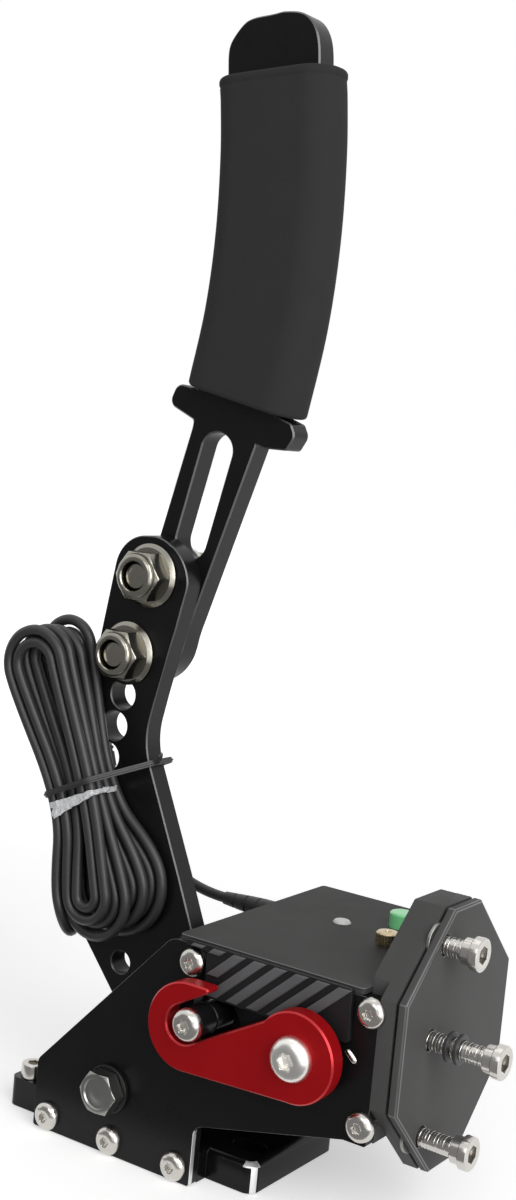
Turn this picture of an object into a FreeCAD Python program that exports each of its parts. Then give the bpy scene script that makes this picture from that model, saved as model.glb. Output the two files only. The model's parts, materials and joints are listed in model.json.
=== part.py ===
import FreeCAD, Part
import Sketcher
import math
import os

V = FreeCAD.Vector
os.makedirs("parts", exist_ok=True)
doc = FreeCAD.newDocument("sim_handbrake")

# Driving dimensions, in millimetres. +X is the way the lever is pulled, +Z is up,
# Y = 0 is the middle plane of the lever and Z = 0 is the underside of the base.
DIMENSIONS = {
    "pivot_height": 22, "base_thickness": 10, "base_half_width": 29.5, "base_rear": -31, "base_front": 34.5,
    "rear_tongue_end": -48.5, "rear_tongue_half": 27, "front_tongue_end": 52.5, "front_tongue_half": 25,
    "mount_slot_x": 43, "mount_slot_y": 13, "mount_slot_width": 6.6, "mount_slot_length": 12,
    "rear_bolt_x": -42.5, "rear_bolt_y": 22, "side_thickness": 4.5, "side_front": 96, "side_top": 77.8,
    "right_side_top": 70.3, "pin_x": 37, "pin_height": 57, "pin_sleeve_radius": 5, "pin_reach": 45.5,
    "sensor_x": 74, "sensor_height": 56.6, "shaft_radius": 4, "sensor_arm_thickness": 6, "sensor_arm_outer": 44,
    "flange_rear": 90.5, "flange_face": 101, "plate_gap": 1, "plate_thickness": 3,
    "octagon_half": 34, "octagon_low": 20, "octagon_side_low": 45, "octagon_side_high": 78.5,
    "octagon_high": 102.5, "octagon_flat_half": 8.6, "screw_line_y": -16.5,
    "preload_height": 64, "upper_travel_height": 92.5, "upper_travel_y": -13, "lower_travel_height": 34,
    "side_screw_inset": 2.4, "flange_screw_low": 38.9, "flange_screw_high": 73.6,
    "tray_rear": 22.5, "tray_front": 88.5, "tray_left": -29.2, "tray_right": 52, "tray_floor": 70.5,
    "tray_top": 78, "tray_wall": 2, "tray_floor_thickness": 1.4, "pocket_left": 34.3, "pocket_floor": 52,
    "lid_thickness": 2, "lid_left": -34, "lid_front": 90.3, "light_x": 50.7, "light_y": 18.4,
    "light_radius": 3, "button_x": 66.5, "button_y": 30.5, "button_radius": 4.2, "knob_x": 73.5,
    "knob_y": 8.5, "knob_radius": 3.9, "board_thickness": 1.4, "spacer_height": 1,
    "gland_y": 25, "gland_height": 74.8, "gland_length": 23.5, "cord_radius": 1.85,
    "arm_thickness": 8, "bar_thickness": 9, "guard_thickness": 9,
    "m5_radius": 2.5, "m5_clearance": 2.75, "m6_radius": 3, "m6_clearance": 3.3, "m8_radius": 4,
    "m10_radius": 5, "m10_clearance": 5.1, "fit": 0.05,
    "grip_plane": 8.5, "grip_width": 45, "grip_depth": 21,
    "plunger_face": 42.3, "plunger_shoe": 4, "rod_radius": 2.75, "rod_end": 76, "seat_face": 85.2,
    "seat_thickness": 3.3, "guide_radius": 3.7, "guide_end": 66, "spring_radius": 5,
    "spring_wire_radius": 0.9, "spring_turns": 8,
    "stop_x": -21.6, "stop_height": 25.2, "stop_radius": 4,
}
sheet = doc.addObject("Spreadsheet::Sheet", "Dimensions")
for row, (alias, value) in enumerate(DIMENSIONS.items(), start=1):
    sheet.set("A%d" % row, alias)
    sheet.set("B%d" % row, str(value))
    sheet.setAlias("B%d" % row, alias)
doc.recompute()


def size(alias):
    return float(getattr(sheet, alias))


def bind(item, prop, expression):
    """Give a property a plain number, or tie it to the sheet."""
    if isinstance(expression, str):
        item.setExpression(prop, expression)
    else:
        setattr(item, prop, expression)


def cell(alias):
    return "Dimensions." + alias


nodes = []


def node(item, name):
    item.Label = name
    nodes.append(item)
    return item


def origin_plane(body, role):
    return next(f for f in body.Origin.OriginFeatures if f.Role == role)


def rounded(corners):
    """Lines and tangent arcs through a closed list of (x, y, radius) corners."""
    points = [V(x, y, 0) for x, y, radius in corners]
    ends = []
    geometry = []
    for index, (x, y, radius) in enumerate(corners):
        corner = points[index]
        before = (points[index - 1] - corner).normalize()
        after = (points[(index + 1) % len(points)] - corner).normalize()
        if radius == 0:
            ends.append((corner, corner))
            continue
        half = before.getAngle(after) / 2
        reach = radius / math.tan(half)
        middle = V(before + after).normalize()
        centre = corner + middle * (radius / math.sin(half))
        start = corner + before * reach
        end = corner + after * reach
        geometry.append(Part.ArcOfCircle(start, centre - middle * radius, end))
        ends.append((start, end))
    for index in range(len(corners)):
        start = ends[index - 1][1]
        end = ends[index][0]
        if start.distanceToPoint(end) > 1e-6:
            geometry.append(Part.LineSegment(start, end))
    return geometry


def sketch(body, name, role, loops=(), circles=(), offset=None):
    """Closed outlines and circles (x, y, radius) on one of the body's own planes."""
    item = body.newObject("Sketcher::SketchObject", name)
    item.AttachmentSupport = [(origin_plane(body, role), "")]
    item.MapMode = "FlatFace"
    for corners in loops:
        item.addGeometry(rounded(corners), False)
    for x, y, radius in circles:
        start = size(radius) if isinstance(radius, str) else radius
        number = item.addGeometry(Part.Circle(V(x, y, 0), V(0, 0, 1), start), False)
        if isinstance(radius, str):
            constraint = item.addConstraint(Sketcher.Constraint("Radius", number, start))
            item.setExpression("Constraints[%d]" % constraint, cell(radius))
    if offset:
        item.setExpression("AttachmentOffset.Base.z", offset)
    return item


def slot(x, y, length, width, angle=0):
    """A slot's outline: four corners that are rounded by half of its width."""
    along = V(math.cos(angle), math.sin(angle), 0)
    across = V(-math.sin(angle), math.cos(angle), 0)
    corners = []
    for a, b in ((-1, -1), (1, -1), (1, 1), (-1, 1)):
        point = V(x, y, 0) + along * (a * length / 2) + across * (b * width / 2)
        corners.append((point.x, point.y, width / 2))
    return corners


def box_loop(x0, y0, x1, y1, radius=0):
    return [(x0, y0, radius), (x1, y0, radius), (x1, y1, radius), (x0, y1, radius)]


def open_through(body, name, role, loops=(), circles=()):
    """Cut outlines right through the body and compare the volume."""
    before = body.Tip
    doc.recompute()
    volume = before.Shape.Volume
    pocket = body.newObject("PartDesign::Pocket", name + "_pocket")
    pocket.Profile = sketch(body, name + "_openings", role, loops, circles)
    pocket.Type = "ThroughAll"
    pocket.SideType = "Symmetric"
    doc.recompute()
    if pocket.Shape.Volume > volume - 1:
        raise RuntimeError(name + ": the pocket took nothing away")
    return pocket


def plate(name, role, thickness, corners, loops=(), circles=(), start=None):
    """A flat piece: an outline padded along +X, +Y or +Z, with openings through it."""
    body = doc.addObject("PartDesign::Body", name)
    pad = body.newObject("PartDesign::Pad", name + "_pad")
    pad.Profile = sketch(body, name + "_outline", role, [corners])
    pad.setExpression("Length", thickness)
    pad.Reversed = role == "XZ_Plane"
    if loops or circles:
        open_through(body, name, role, loops, circles)
    axis = {"XZ_Plane": "y", "YZ_Plane": "x", "XY_Plane": "z"}[role]
    if start:
        body.setExpression("Placement.Base." + axis, start)
    return node(body, name)


def turned(name, profile, placement=None, listed=True):
    """A turned piece: corners (radius, height, rounding) about the piece's Z axis."""
    body = doc.addObject("PartDesign::Body", name)
    outline = sketch(body, name + "_profile", "XZ_Plane", [profile])
    turn = body.newObject("PartDesign::Revolution", name + "_turn")
    turn.Profile = outline
    turn.ReferenceAxis = (outline, ["V_Axis"])
    turn.Angle = 360
    if placement:
        body.Placement = placement
    if listed:
        node(body, name)
    else:
        body.Label = name
    return body


def key_hole(body, name, across_flats, top, depth):
    """A hexagon socket from the top face of a turned head."""
    radius = across_flats / math.sqrt(3)
    corners = []
    for step in range(6):
        angle = math.radians(60 * step)
        corners.append((radius * math.cos(angle), radius * math.sin(angle), 0))
    doc.recompute()
    volume = body.Tip.Shape.Volume
    pocket = body.newObject("PartDesign::Pocket", name + "_socket")
    outline = sketch(body, name + "_hexagon", "XY_Plane", [corners])
    outline.AttachmentOffset = FreeCAD.Placement(V(0, 0, top), FreeCAD.Rotation())
    pocket.Profile = outline
    pocket.Length = depth
    doc.recompute()
    expected = 1.5 * math.sqrt(3) * radius ** 2 * depth
    if abs(volume - pocket.Shape.Volume - expected) > 0.2 * expected:
        raise RuntimeError(name + ": the socket is not where it belongs")


def screw(name, radius, length, head_radius, head_height, rounding, key, depth):
    """A screw whose head stands on the XY plane and whose shank points down."""
    profile = [(0, -length, 0), (radius, -length, min(0.5, radius / 4)), (radius, 0, 0), (head_radius, 0, 0),
               (head_radius, head_height, rounding), (0, head_height, 0)]
    body = turned(name, profile, listed=False)
    key_hole(body, name, key, head_height, depth)
    return body


def facing(x, y, z, direction):
    """A placement that turns the piece's +Z to the given direction."""
    return FreeCAD.Placement(V(x, y, z), FreeCAD.Rotation(V(0, 0, 1), direction))


def group(name, master, placements):
    """One node with a copy of the master at each placement."""
    links = []
    for number, placement in enumerate(placements):
        link = doc.addObject("App::Link", "%s_%d" % (name, number + 1))
        link.LinkedObject = master
        link.Placement = placement
        links.append(link)
    item = doc.addObject("Part::Compound", name)
    item.Links = links
    return node(item, name)


def primitive(kind, name, placement, **sizes):
    item = doc.addObject("Part::" + kind, name)
    for prop, value in sizes.items():
        bind(item, prop, value)
    item.Placement = placement
    return item


def block(name, low, high):
    """A box between two corners, whose coordinates are numbers or expressions."""
    item = doc.addObject("Part::Box", name)
    for prop, axis, start, end in zip(("Length", "Width", "Height"), "xyz", low, high):
        item.setExpression(prop, "(%s) - (%s)" % (end, start))
        item.setExpression("Placement.Base." + axis, "(%s) * 1 mm" % start)
    return item


def combine(kind, name, first, others):
    if kind == "Cut":
        tool = others[0]
        if len(others) > 1:
            tool = doc.addObject("Part::MultiFuse", name + "_tools")
            tool.Shapes = others
        item = doc.addObject("Part::Cut", name)
        item.Base = first
        item.Tool = tool
        return item
    item = doc.addObject("Part::MultiFuse", name)
    item.Shapes = [first] + others
    return item


UP = V(0, 0, 1)
LEFT = V(0, -1, 0)
RIGHT = V(0, 1, 0)
FRONT = V(1, 0, 0)
pivot_z = size("pivot_height")
half_base = size("base_half_width")
half_body = half_base + size("side_thickness")
base_screw_xs = (-24.75, 1.75, 28.25)
base_screw_z = size("base_thickness") / 2
flange_screw_x = size("side_front") - size("side_screw_inset")
flange_screw_zs = (size("flange_screw_low"), size("flange_screw_high"))
line_y = size("screw_line_y")
screw_places = [(line_y, size("lower_travel_height")), (line_y, size("preload_height")),
                (size("upper_travel_y"), size("upper_travel_height"))]
tray_screw_x = 28.8
tray_screw_z = 72.1

# Base plate: one outline with both tongues, two mounting slots in front and two bolt holes behind.
rear = size("base_rear")
front = size("base_front")
rear_end = size("rear_tongue_end")
rear_half = size("rear_tongue_half")
front_end = size("front_tongue_end")
front_half = size("front_tongue_half")
base_corners = [
    (rear_end, -rear_half, 3), (rear, -rear_half, 0), (rear, -half_base, 0), (front, -half_base, 0),
    (front, -front_half, 0), (front_end, -front_half, 4), (front_end, front_half, 4), (front, front_half, 0),
    (front, half_base, 0), (rear, half_base, 0), (rear, rear_half, 0), (rear_end, rear_half, 3)]
mount_slots = [slot(size("mount_slot_x"), side * size("mount_slot_y"), size("mount_slot_length"),
                    size("mount_slot_width")) for side in (-1, 1)]
rear_holes = [(size("rear_bolt_x"), side * size("rear_bolt_y"), "m5_clearance") for side in (-1, 1)]
base = plate("base_plate", "XY_Plane", cell("base_thickness"), base_corners, mount_slots, rear_holes)
side_holes = [(x, base_screw_z, "m5_radius") for x in base_screw_xs]
open_through(base, "base_plate_sides", "XZ_Plane", circles=side_holes)
doc.recompute()
edges = []
for number, edge in enumerate(base.Tip.Shape.Edges, start=1):
    box = edge.BoundBox
    outside = max(abs(box.YMin), abs(box.YMax)) > front_half - 4.1
    if box.ZMin > size("base_thickness") - 0.01 and box.XMax > front_end - 4.1 and outside:
        edges.append("Edge%d" % number)
tip = base.Tip
bevel = base.newObject("PartDesign::Chamfer", "base_plate_bevel")
bevel.Base = (tip, edges)
bevel.Size = 1.5
doc.recompute()

# Side plates: a long sloping rear edge, and a rising lower edge behind the front tongue.
slope = (69.2 - 23) / (11.7 + 31)
foot_corners = [(rear, 0, 1), (front, 0, 1), (front, 20, 4), (88, 33, 2), (size("side_front"), 33, 1)]
left_top = size("side_top")
left_corners = foot_corners + [(size("side_front"), left_top, 1), (rear + (left_top - 23) / slope, left_top, 6),
                               (rear, 23, 4)]
right_top = size("right_side_top")
right_corners = foot_corners + [(size("side_front"), left_top, 1), (88.5, left_top, 1), (88.5, right_top, 2),
                                (rear + (right_top - 23) / slope, right_top, 6), (rear, 23, 4)]
plate_holes = [(x, base_screw_z, "m5_clearance") for x in base_screw_xs]
plate_holes += [(flange_screw_x, z, "m5_clearance") for z in flange_screw_zs]
plate_holes += [(0, pivot_z, 4.1)]
pin_x = size("pin_x")
pin_z = size("pin_height")
sensor_x = size("sensor_x")
sensor_z = size("sensor_height")
window_turn = math.atan2(-9.5, 5.5)
window = slot(41.25, 52.75, 17 + math.hypot(5.5, 9.5), 17, window_turn)
left_holes = plate_holes + [(sensor_x, sensor_z, 6), (tray_screw_x, tray_screw_z, "m5_clearance")]
plate("left_side_plate", "XZ_Plane", cell("side_thickness"), left_corners, [window], left_holes,
      "-(Dimensions.base_half_width + Dimensions.side_thickness) * 1 mm")
plate("right_side_plate", "XZ_Plane", cell("side_thickness"), right_corners, (), plate_holes,
      "Dimensions.base_half_width * 1 mm")

# Front flange: a thin octagon in front of the side plates and a thicker part between them.
oct_half = size("octagon_half")
flat_half = size("octagon_flat_half")
octagon = [
    (flat_half, size("octagon_low"), 0), (oct_half, size("octagon_side_low"), 0),
    (oct_half, size("octagon_side_high"), 0), (flat_half, size("octagon_high"), 0),
    (-flat_half, size("octagon_high"), 0), (-oct_half, size("octagon_side_high"), 0),
    (-oct_half, size("octagon_side_low"), 0), (-flat_half, size("octagon_low"), 0)]
shoulder = size("octagon_high") - (half_base - flat_half) * (
    (size("octagon_high") - size("octagon_side_high")) / (oct_half - flat_half))
inner_block = [(-half_base, 33, 0), (half_base, 33, 0), (half_base, shoulder, 0),
               (flat_half, size("octagon_high"), 1), (-flat_half, size("octagon_high"), 1),
               (-half_base, shoulder, 0)]
flange = doc.addObject("PartDesign::Body", "front_flange")
inner_pad = flange.newObject("PartDesign::Pad", "front_flange_inner")
inner_pad.Profile = sketch(flange, "front_flange_inner_outline", "YZ_Plane", [inner_block])
inner_pad.setExpression("Length", "Dimensions.side_front - Dimensions.flange_rear")
outer_pad = flange.newObject("PartDesign::Pad", "front_flange_outer")
outer_pad.Profile = sketch(flange, "front_flange_outline", "YZ_Plane", [octagon],
                           offset="(Dimensions.side_front - Dimensions.flange_rear) * 1 mm")
outer_pad.setExpression("Length", "Dimensions.flange_face - Dimensions.side_front")
open_through(flange, "front_flange", "YZ_Plane",
             circles=[(y, z, size("m6_radius") + size("fit")) for y, z in screw_places])
flange_sides = [(flange_screw_x - size("flange_rear"), z, "m5_radius") for z in flange_screw_zs]
open_through(flange, "front_flange_sides", "XZ_Plane", circles=flange_sides)
flange.setExpression("Placement.Base.x", "Dimensions.flange_rear * 1 mm")
node(flange, "front_flange")

# Adjuster plate with its bevelled front edge, and the washers that keep it off the flange.
adjuster = plate("adjuster_plate", "YZ_Plane", cell("plate_thickness"), octagon, (),
                 [(y, z, "m6_clearance") for y, z in screw_places],
                 "(Dimensions.flange_face + Dimensions.plate_gap) * 1 mm")
doc.recompute()
edges = []
for number, edge in enumerate(adjuster.Tip.Shape.Edges, start=1):
    if edge.BoundBox.XMin > size("plate_thickness") - 0.01 and len(edge.Vertexes) == 2:
        edges.append("Edge%d" % number)
tip = adjuster.Tip
bevel = adjuster.newObject("PartDesign::Chamfer", "adjuster_plate_bevel")
bevel.Base = (tip, edges)
bevel.Size = 0.6
washer = turned("m6_washer", [(size("m6_clearance"), 0, 0), (6, 0, 0.2), (6, size("plate_gap"), 0.2),
                              (size("m6_clearance"), size("plate_gap"), 0)], listed=False)
group("plate_washers", washer, [facing(size("flange_face"), y, z, FRONT) for y, z in screw_places])

# Adjusting screws: the long one presses the spring seat and the two short ones set the plate.
long_length = 123.5 - size("seat_face") - size("seat_thickness")
long_screw = screw("m6_long_screw", size("m6_radius"), long_length, 5.2, 6, 0.6, 5, 3)
group("preload_screw", long_screw, [facing(123.5, line_y, size("preload_height"), FRONT)])
ring = turned("m6_ring", [(size("m6_radius") + size("fit"), 0, 0), (4.6, 0, 0.3), (4.6, 1.2, 0.3),
                          (size("m6_radius") + size("fit"), 1.2, 0)], listed=False)
group("preload_rings", ring, [facing(x, line_y, size("preload_height"), FRONT) for x in (111, 114.2)])
short_screw = screw("m6_short_screw", size("m6_radius"), 20, 5.2, 6, 0.6, 5, 3)
group("travel_screws", short_screw, [
    facing(111.3, size("upper_travel_y"), size("upper_travel_height"), FRONT),
    facing(116.3, line_y, size("lower_travel_height"), FRONT)])

# Button-head and socket-head screws of the frame.
button_head = screw("m5_button_screw", size("m5_radius") - size("fit"), 12, 4.75, 2.75, 2.1, 3, 1.6)
base_places = []
for x in base_screw_xs:
    base_places += [facing(x, -half_body, base_screw_z, LEFT), facing(x, half_body, base_screw_z, RIGHT)]
group("base_screws", button_head, base_places)
flange_places = []
for z in flange_screw_zs:
    flange_places += [facing(flange_screw_x, -half_body, z, LEFT), facing(flange_screw_x, half_body, z, RIGHT)]
group("flange_screws", button_head, flange_places)
group("tray_screw", button_head, [facing(tray_screw_x, -half_body, tray_screw_z, LEFT)])
socket_head = screw("m5_socket_screw", size("m5_radius"), 9.5, 4.25, 5, 0.5, 4, 2.5)
group("rear_bolts", socket_head, [
    facing(size("rear_bolt_x"), side * size("rear_bolt_y"), size("base_thickness"), UP) for side in (-1, 1)])

# Pivot: an M8 hexagon bolt through both plates, the bush of the lever and two tube spacers.


def hexagon(across_flats, turn=0):
    radius = across_flats / math.sqrt(3)
    corners = []
    for step in range(6):
        angle = math.radians(60 * step + turn)
        corners.append((radius * math.cos(angle), radius * math.sin(angle), 0))
    return corners


washer_thickness = 1.6
bolt_seat = half_body + washer_thickness
pivot_bolt = doc.addObject("PartDesign::Body", "pivot_bolt")
pad = pivot_bolt.newObject("PartDesign::Pad", "pivot_bolt_head")
pad.Profile = sketch(pivot_bolt, "pivot_bolt_hexagon", "XY_Plane", [hexagon(13)])
pad.Length = 5.3
pad = pivot_bolt.newObject("PartDesign::Pad", "pivot_bolt_shank")
pad.Profile = sketch(pivot_bolt, "pivot_bolt_circle", "XY_Plane", circles=[(0, 0, "m8_radius")])
pad.Length = 2 * bolt_seat + 9
pad.Reversed = True
pivot_bolt.Placement = facing(0, -bolt_seat, pivot_z, LEFT)
node(pivot_bolt, "pivot_bolt")
washer = turned("m8_washer", [(4.2, 0, 0), (8, 0, 0.3), (8, washer_thickness, 0.3), (4.2, washer_thickness, 0)],
                listed=False)
group("pivot_washers", washer, [facing(0, -half_body, pivot_z, LEFT), facing(0, half_body, pivot_z, RIGHT)])


def hex_nut(name, across_flats, height, bore, flange_radius=0, collar=0):
    """A hexagon nut on the XY plane, with a turned flange or collar where it has one."""
    body = doc.addObject("PartDesign::Body", name)
    pad = body.newObject("PartDesign::Pad", name + "_hexagon")
    pad.Profile = sketch(body, name + "_outline", "XY_Plane", [hexagon(across_flats)])
    pad.Length = height
    if flange_radius:
        pad = body.newObject("PartDesign::Pad", name + "_flange")
        pad.Profile = sketch(body, name + "_flange_circle", "XY_Plane", circles=[(0, 0, flange_radius)])
        pad.Length = 2
    if collar:
        pad = body.newObject("PartDesign::Pad", name + "_collar")
        pad.Profile = sketch(body, name + "_collar_circle", "XY_Plane", circles=[(0, 0, across_flats / 2 - 0.6)])
        pad.Length = height + collar
    open_through(body, name, "XY_Plane", circles=[(0, 0, bore)])
    body.Label = name
    return body


pivot_nut = hex_nut("m8_nut", 13, 6.2, size("m8_radius") + size("fit"), collar=1.8)
group("pivot_nut", pivot_nut, [facing(0, bolt_seat, pivot_z, RIGHT)])


def tube_profile(inner, outer, start, end, rounding=0.3):
    return [(inner, start, 0), (outer, start, rounding), (outer, end, rounding), (inner, end, 0)]


spacer = turned("m8_spacer", tube_profile(4.2, 6, 6.2, half_base), listed=False)
group("pivot_spacers", spacer, [facing(0, 0, pivot_z, LEFT), facing(0, 0, pivot_z, RIGHT)])
turned("rest_stop", [(0, -half_base, 0), (size("stop_radius"), -half_base, 0.5),
                     (size("stop_radius"), half_base, 0.5), (0, half_base, 0)],
       facing(size("stop_x"), 0, size("stop_height"), RIGHT))

# Angle sensor: a potted body on the inside of the left plate and a flanged bush for the shaft.
sensor = doc.addObject("PartDesign::Body", "sensor_body")
pad = sensor.newObject("PartDesign::Pad", "sensor_body_pad")
pad.Profile = sketch(sensor, "sensor_body_outline", "XZ_Plane", [
    box_loop(sensor_x - 10, sensor_z - 10, sensor_x + 10, sensor_z + 10, 2)])
pad.Length = 5.5
pad.Reversed = True
pad = sensor.newObject("PartDesign::Pad", "sensor_body_plug")
pad.Profile = sketch(sensor, "sensor_body_plug_outline", "XZ_Plane", [
    box_loop(sensor_x - 5, sensor_z - 9, sensor_x + 5, sensor_z - 3, 1)])
pad.Length = 9
pad.Reversed = True
sensor.Placement.Base = V(0, -half_base, 0)
node(sensor, "sensor_body")
shaft_bore = size("shaft_radius") + size("fit")
turned("sensor_bush", tube_profile(shaft_bore, 6 - size("fit"), half_base, half_body + 3.4),
       facing(sensor_x, 0, sensor_z, LEFT))

# Electronics tray: a shallow open box with a deeper pocket outside the right plate.
wall = "Dimensions.tray_wall"
tray_outer = block("tray_outer", (cell("tray_rear"), cell("tray_left"), cell("tray_floor")),
                   (cell("tray_front"), cell("tray_right"), cell("tray_top")))
pocket_outer = block("pocket_outer", (cell("tray_rear"), cell("pocket_left"), cell("pocket_floor")),
                     (cell("tray_front"), cell("tray_right"), cell("tray_top")))
boss = primitive("Cylinder", "tray_boss", facing(tray_screw_x, size("tray_left"), tray_screw_z, RIGHT),
                 Radius=4, Height=10)
tray_inner = block("tray_inner", (cell("tray_rear") + " + " + wall, cell("tray_left") + " + " + wall,
                                  "Dimensions.tray_floor + Dimensions.tray_floor_thickness"),
                   (cell("tray_front") + " - " + wall, cell("tray_right") + " - " + wall,
                    "Dimensions.tray_top + 1"))
pocket_inner = block("pocket_inner", (cell("tray_rear") + " + " + wall, cell("pocket_left") + " + " + wall,
                                      cell("pocket_floor") + " + " + wall),
                     (cell("tray_front") + " - " + wall, cell("tray_right") + " - " + wall,
                      "Dimensions.tray_top + 1"))
shell = combine("Fuse", "tray_shell", tray_outer, [pocket_outer])
hollow = combine("Cut", "tray_hollow", shell, [tray_inner, pocket_inner])
bossed = combine("Fuse", "tray_bossed", hollow, [boss])
screw_bore = primitive("Cylinder", "tray_screw_bore", facing(tray_screw_x, size("tray_left") - 1, tray_screw_z,
                                                            RIGHT), Radius=cell("m5_radius"), Height=9)
gland_bore = primitive("Cylinder", "gland_bore", facing(size("tray_rear") - 1, size("gland_y"),
                                                        size("gland_height"), FRONT), Radius=1.95, Height=4)
tray = combine("Cut", "electronics_tray", bossed, [screw_bore, gland_bore])
node(tray, "electronics_tray")

# Lid with its three openings.
lid = [(size("tray_rear"), size("lid_left"), 1.5), (size("lid_front"), size("lid_left"), 1.5),
       (size("lid_front"), size("tray_right"), 1.5), (size("tray_rear"), size("tray_right"), 1.5)]
button_hole = size("button_radius") + 0.3
plate("housing_lid", "XY_Plane", cell("lid_thickness"), lid, (),
      [(size("light_x"), size("light_y"), size("light_radius") + size("fit")),
       (size("button_x"), size("button_y"), button_hole), (size("knob_x"), size("knob_y"), 1.6)],
      "Dimensions.tray_top * 1 mm")

# Ribbed panel on the left plate: diagonal ribs that end at its upper edge.
panel_low = 63
panel_high = 79.4
panel = doc.addObject("PartDesign::Body", "ribbed_side_panel")
pad = panel.newObject("PartDesign::Pad", "ribbed_panel_pad")
pad.Profile = sketch(panel, "ribbed_panel_outline", "XZ_Plane", [[
    (26.5, panel_high, 0.5), (26.5, 77.6, 0.5), (34.6, 77.6, 1), (34.6, 64.6, 1), (36.2, panel_low, 1),
    (87.5, panel_low, 1), (87, panel_high, 1)]])
pad.Length = 1.6
rib_pitch = 7.6
rib_lean = math.tan(math.radians(48))
ribs = []
for step in range(8):
    top = 29.5 + rib_pitch * step
    high = panel_high - 0.4
    low = panel_low + 0.8
    if step == 0:
        low = 78
    elif step < 3:
        low = max(low, panel_high - 0.6 - (top - 35.4) / rib_lean)
    left = top - (high - low) * rib_lean
    ribs.append([(left, low, 0), (left + 4.6, low, 0), (top + 4.6, high, 0), (top, high, 0)])
ribs = [rib for rib in ribs if rib[1][0] < 87]
rib_pad = panel.newObject("PartDesign::Pad", "ribbed_panel_ribs")
rib_pad.Profile = sketch(panel, "ribbed_panel_rib_outlines", "XZ_Plane", ribs)
rib_pad.Length = 2.6
panel.Placement.Base = V(0, -half_body, 0)
node(panel, "ribbed_side_panel")

# Circuit board on its spacers, with the controller, a connector and the push-button switch.
board_z = size("tray_floor") + size("tray_floor_thickness") + size("spacer_height")
board_top = board_z + size("board_thickness")
board_holes = [(31, -4), (80, -4), (31, 30), (80, 30)]
plate("circuit_board", "XY_Plane", cell("board_thickness"), box_loop(27, -8, 84, 46, 1), (),
      [(x, y, 1.3) for x, y in board_holes],
      "(Dimensions.tray_floor + Dimensions.tray_floor_thickness + Dimensions.spacer_height) * 1 mm")
spacer = turned("board_spacer", tube_profile(1.3, 2.6, 0, size("spacer_height"), 0.1), listed=False)
group("board_spacers", spacer, [facing(x, y, board_z - size("spacer_height"), UP) for x, y in board_holes])
chip = block("chip_body", ("42", "-2", str(board_top)), ("52", "8", str(board_top + 1.4)))
socket = block("board_socket", ("29", "20", str(board_top)), ("34", "28", str(board_top + 1.6)))
can = block("board_crystal", ("56", "0", str(board_top)), ("61", "3.5", str(board_top + 1.5)))
parts = doc.addObject("Part::Compound", "board_parts")
parts.Links = [chip, socket, can]
node(parts, "board_parts")
half_switch = 3
node(block("push_switch", (size("button_x") - half_switch, size("button_y") - half_switch, board_top),
           (size("button_x") + half_switch, size("button_y") + half_switch, board_top + 1.4)), "push_switch")
light_r = size("light_radius")
turned("status_light", [(0, board_top - size("tray_top"), 0), (1.8, board_top - size("tray_top"), 0),
                        (1.8, -0.6, 0), (light_r, -0.6, 0), (light_r, 2.9, 1.2), (0, 2.9, 0)],
       facing(size("light_x"), size("light_y"), size("tray_top"), UP))
cap_r = size("button_radius")
turned("green_button", [(0, -0.35, 0), (1.6, -0.35, 0.1), (1.6, 0.4, 0), (cap_r, 0.4, 0.2), (cap_r, 7, 0.8),
                        (0, 7, 0)], facing(size("button_x"), size("button_y"), size("tray_top"), UP))
knob_r = size("knob_radius")
turned("brass_screw", [(0, board_top + 0.6, 0), (1.5, board_top + 0.6, 0.3), (1.5, 80, 0), (knob_r - 0.8, 80, 0),
                       (knob_r - 0.8, 80.8, 0), (knob_r, 80.8, 0.3), (knob_r, 84.6, 0.5), (0, 84.6, 0)],
       facing(size("knob_x"), size("knob_y"), 0, UP))
turned("lid_pillar", tube_profile(1.5 + size("fit"), 2.8, board_top, size("tray_top"), 0.1),
       facing(size("knob_x"), size("knob_y"), 0, UP))

# Cable gland on the rear wall: a flanged nose that tapers to the cable.
gland_end = size("gland_length")
cord_r = size("cord_radius")
turned("cable_gland", [(0, -1.9, 0), (1.9, -1.9, 0), (1.9, 0, 0), (4.2, 0, 0.4), (4.2, 2, 0.4), (3.5, 2, 0),
                       (3.4, 8, 0), (3, 8, 0), (3, 9, 0), (3.3, 9, 0), (3.1, 13, 0), (2.7, 13, 0), (2.7, 14, 0),
                       (3, 14, 0), (2.7, 18, 0), (2.4, 18, 0), (2.4, 19, 0), (2.6, 19, 0),
                       (cord_r + 0.4, gland_end, 0.3), (0, gland_end, 0)],
       FreeCAD.Placement(V(size("tray_rear"), size("gland_y"), size("gland_height")),
                         FreeCAD.Rotation(UP, V(-1, 0, 0))))

# Spring seat with the guide tube of the plunger rod.
seat_back = size("seat_face") + size("seat_thickness")
guide_bore = size("rod_radius") + size("fit")
turned("spring_seat", [(0, seat_back, 0), (6.3, seat_back, 0.3), (6.3, size("seat_face"), 0.3),
                       (size("guide_radius"), size("seat_face"), 0), (size("guide_radius"), size("guide_end"), 0.3),
                       (guide_bore, size("guide_end"), 0), (guide_bore, size("seat_face") - 1, 0),
                       (0, size("seat_face") - 1, 0)],
       FreeCAD.Placement(V(0, line_y, size("preload_height")), FreeCAD.Rotation(UP, FRONT)))

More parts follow.
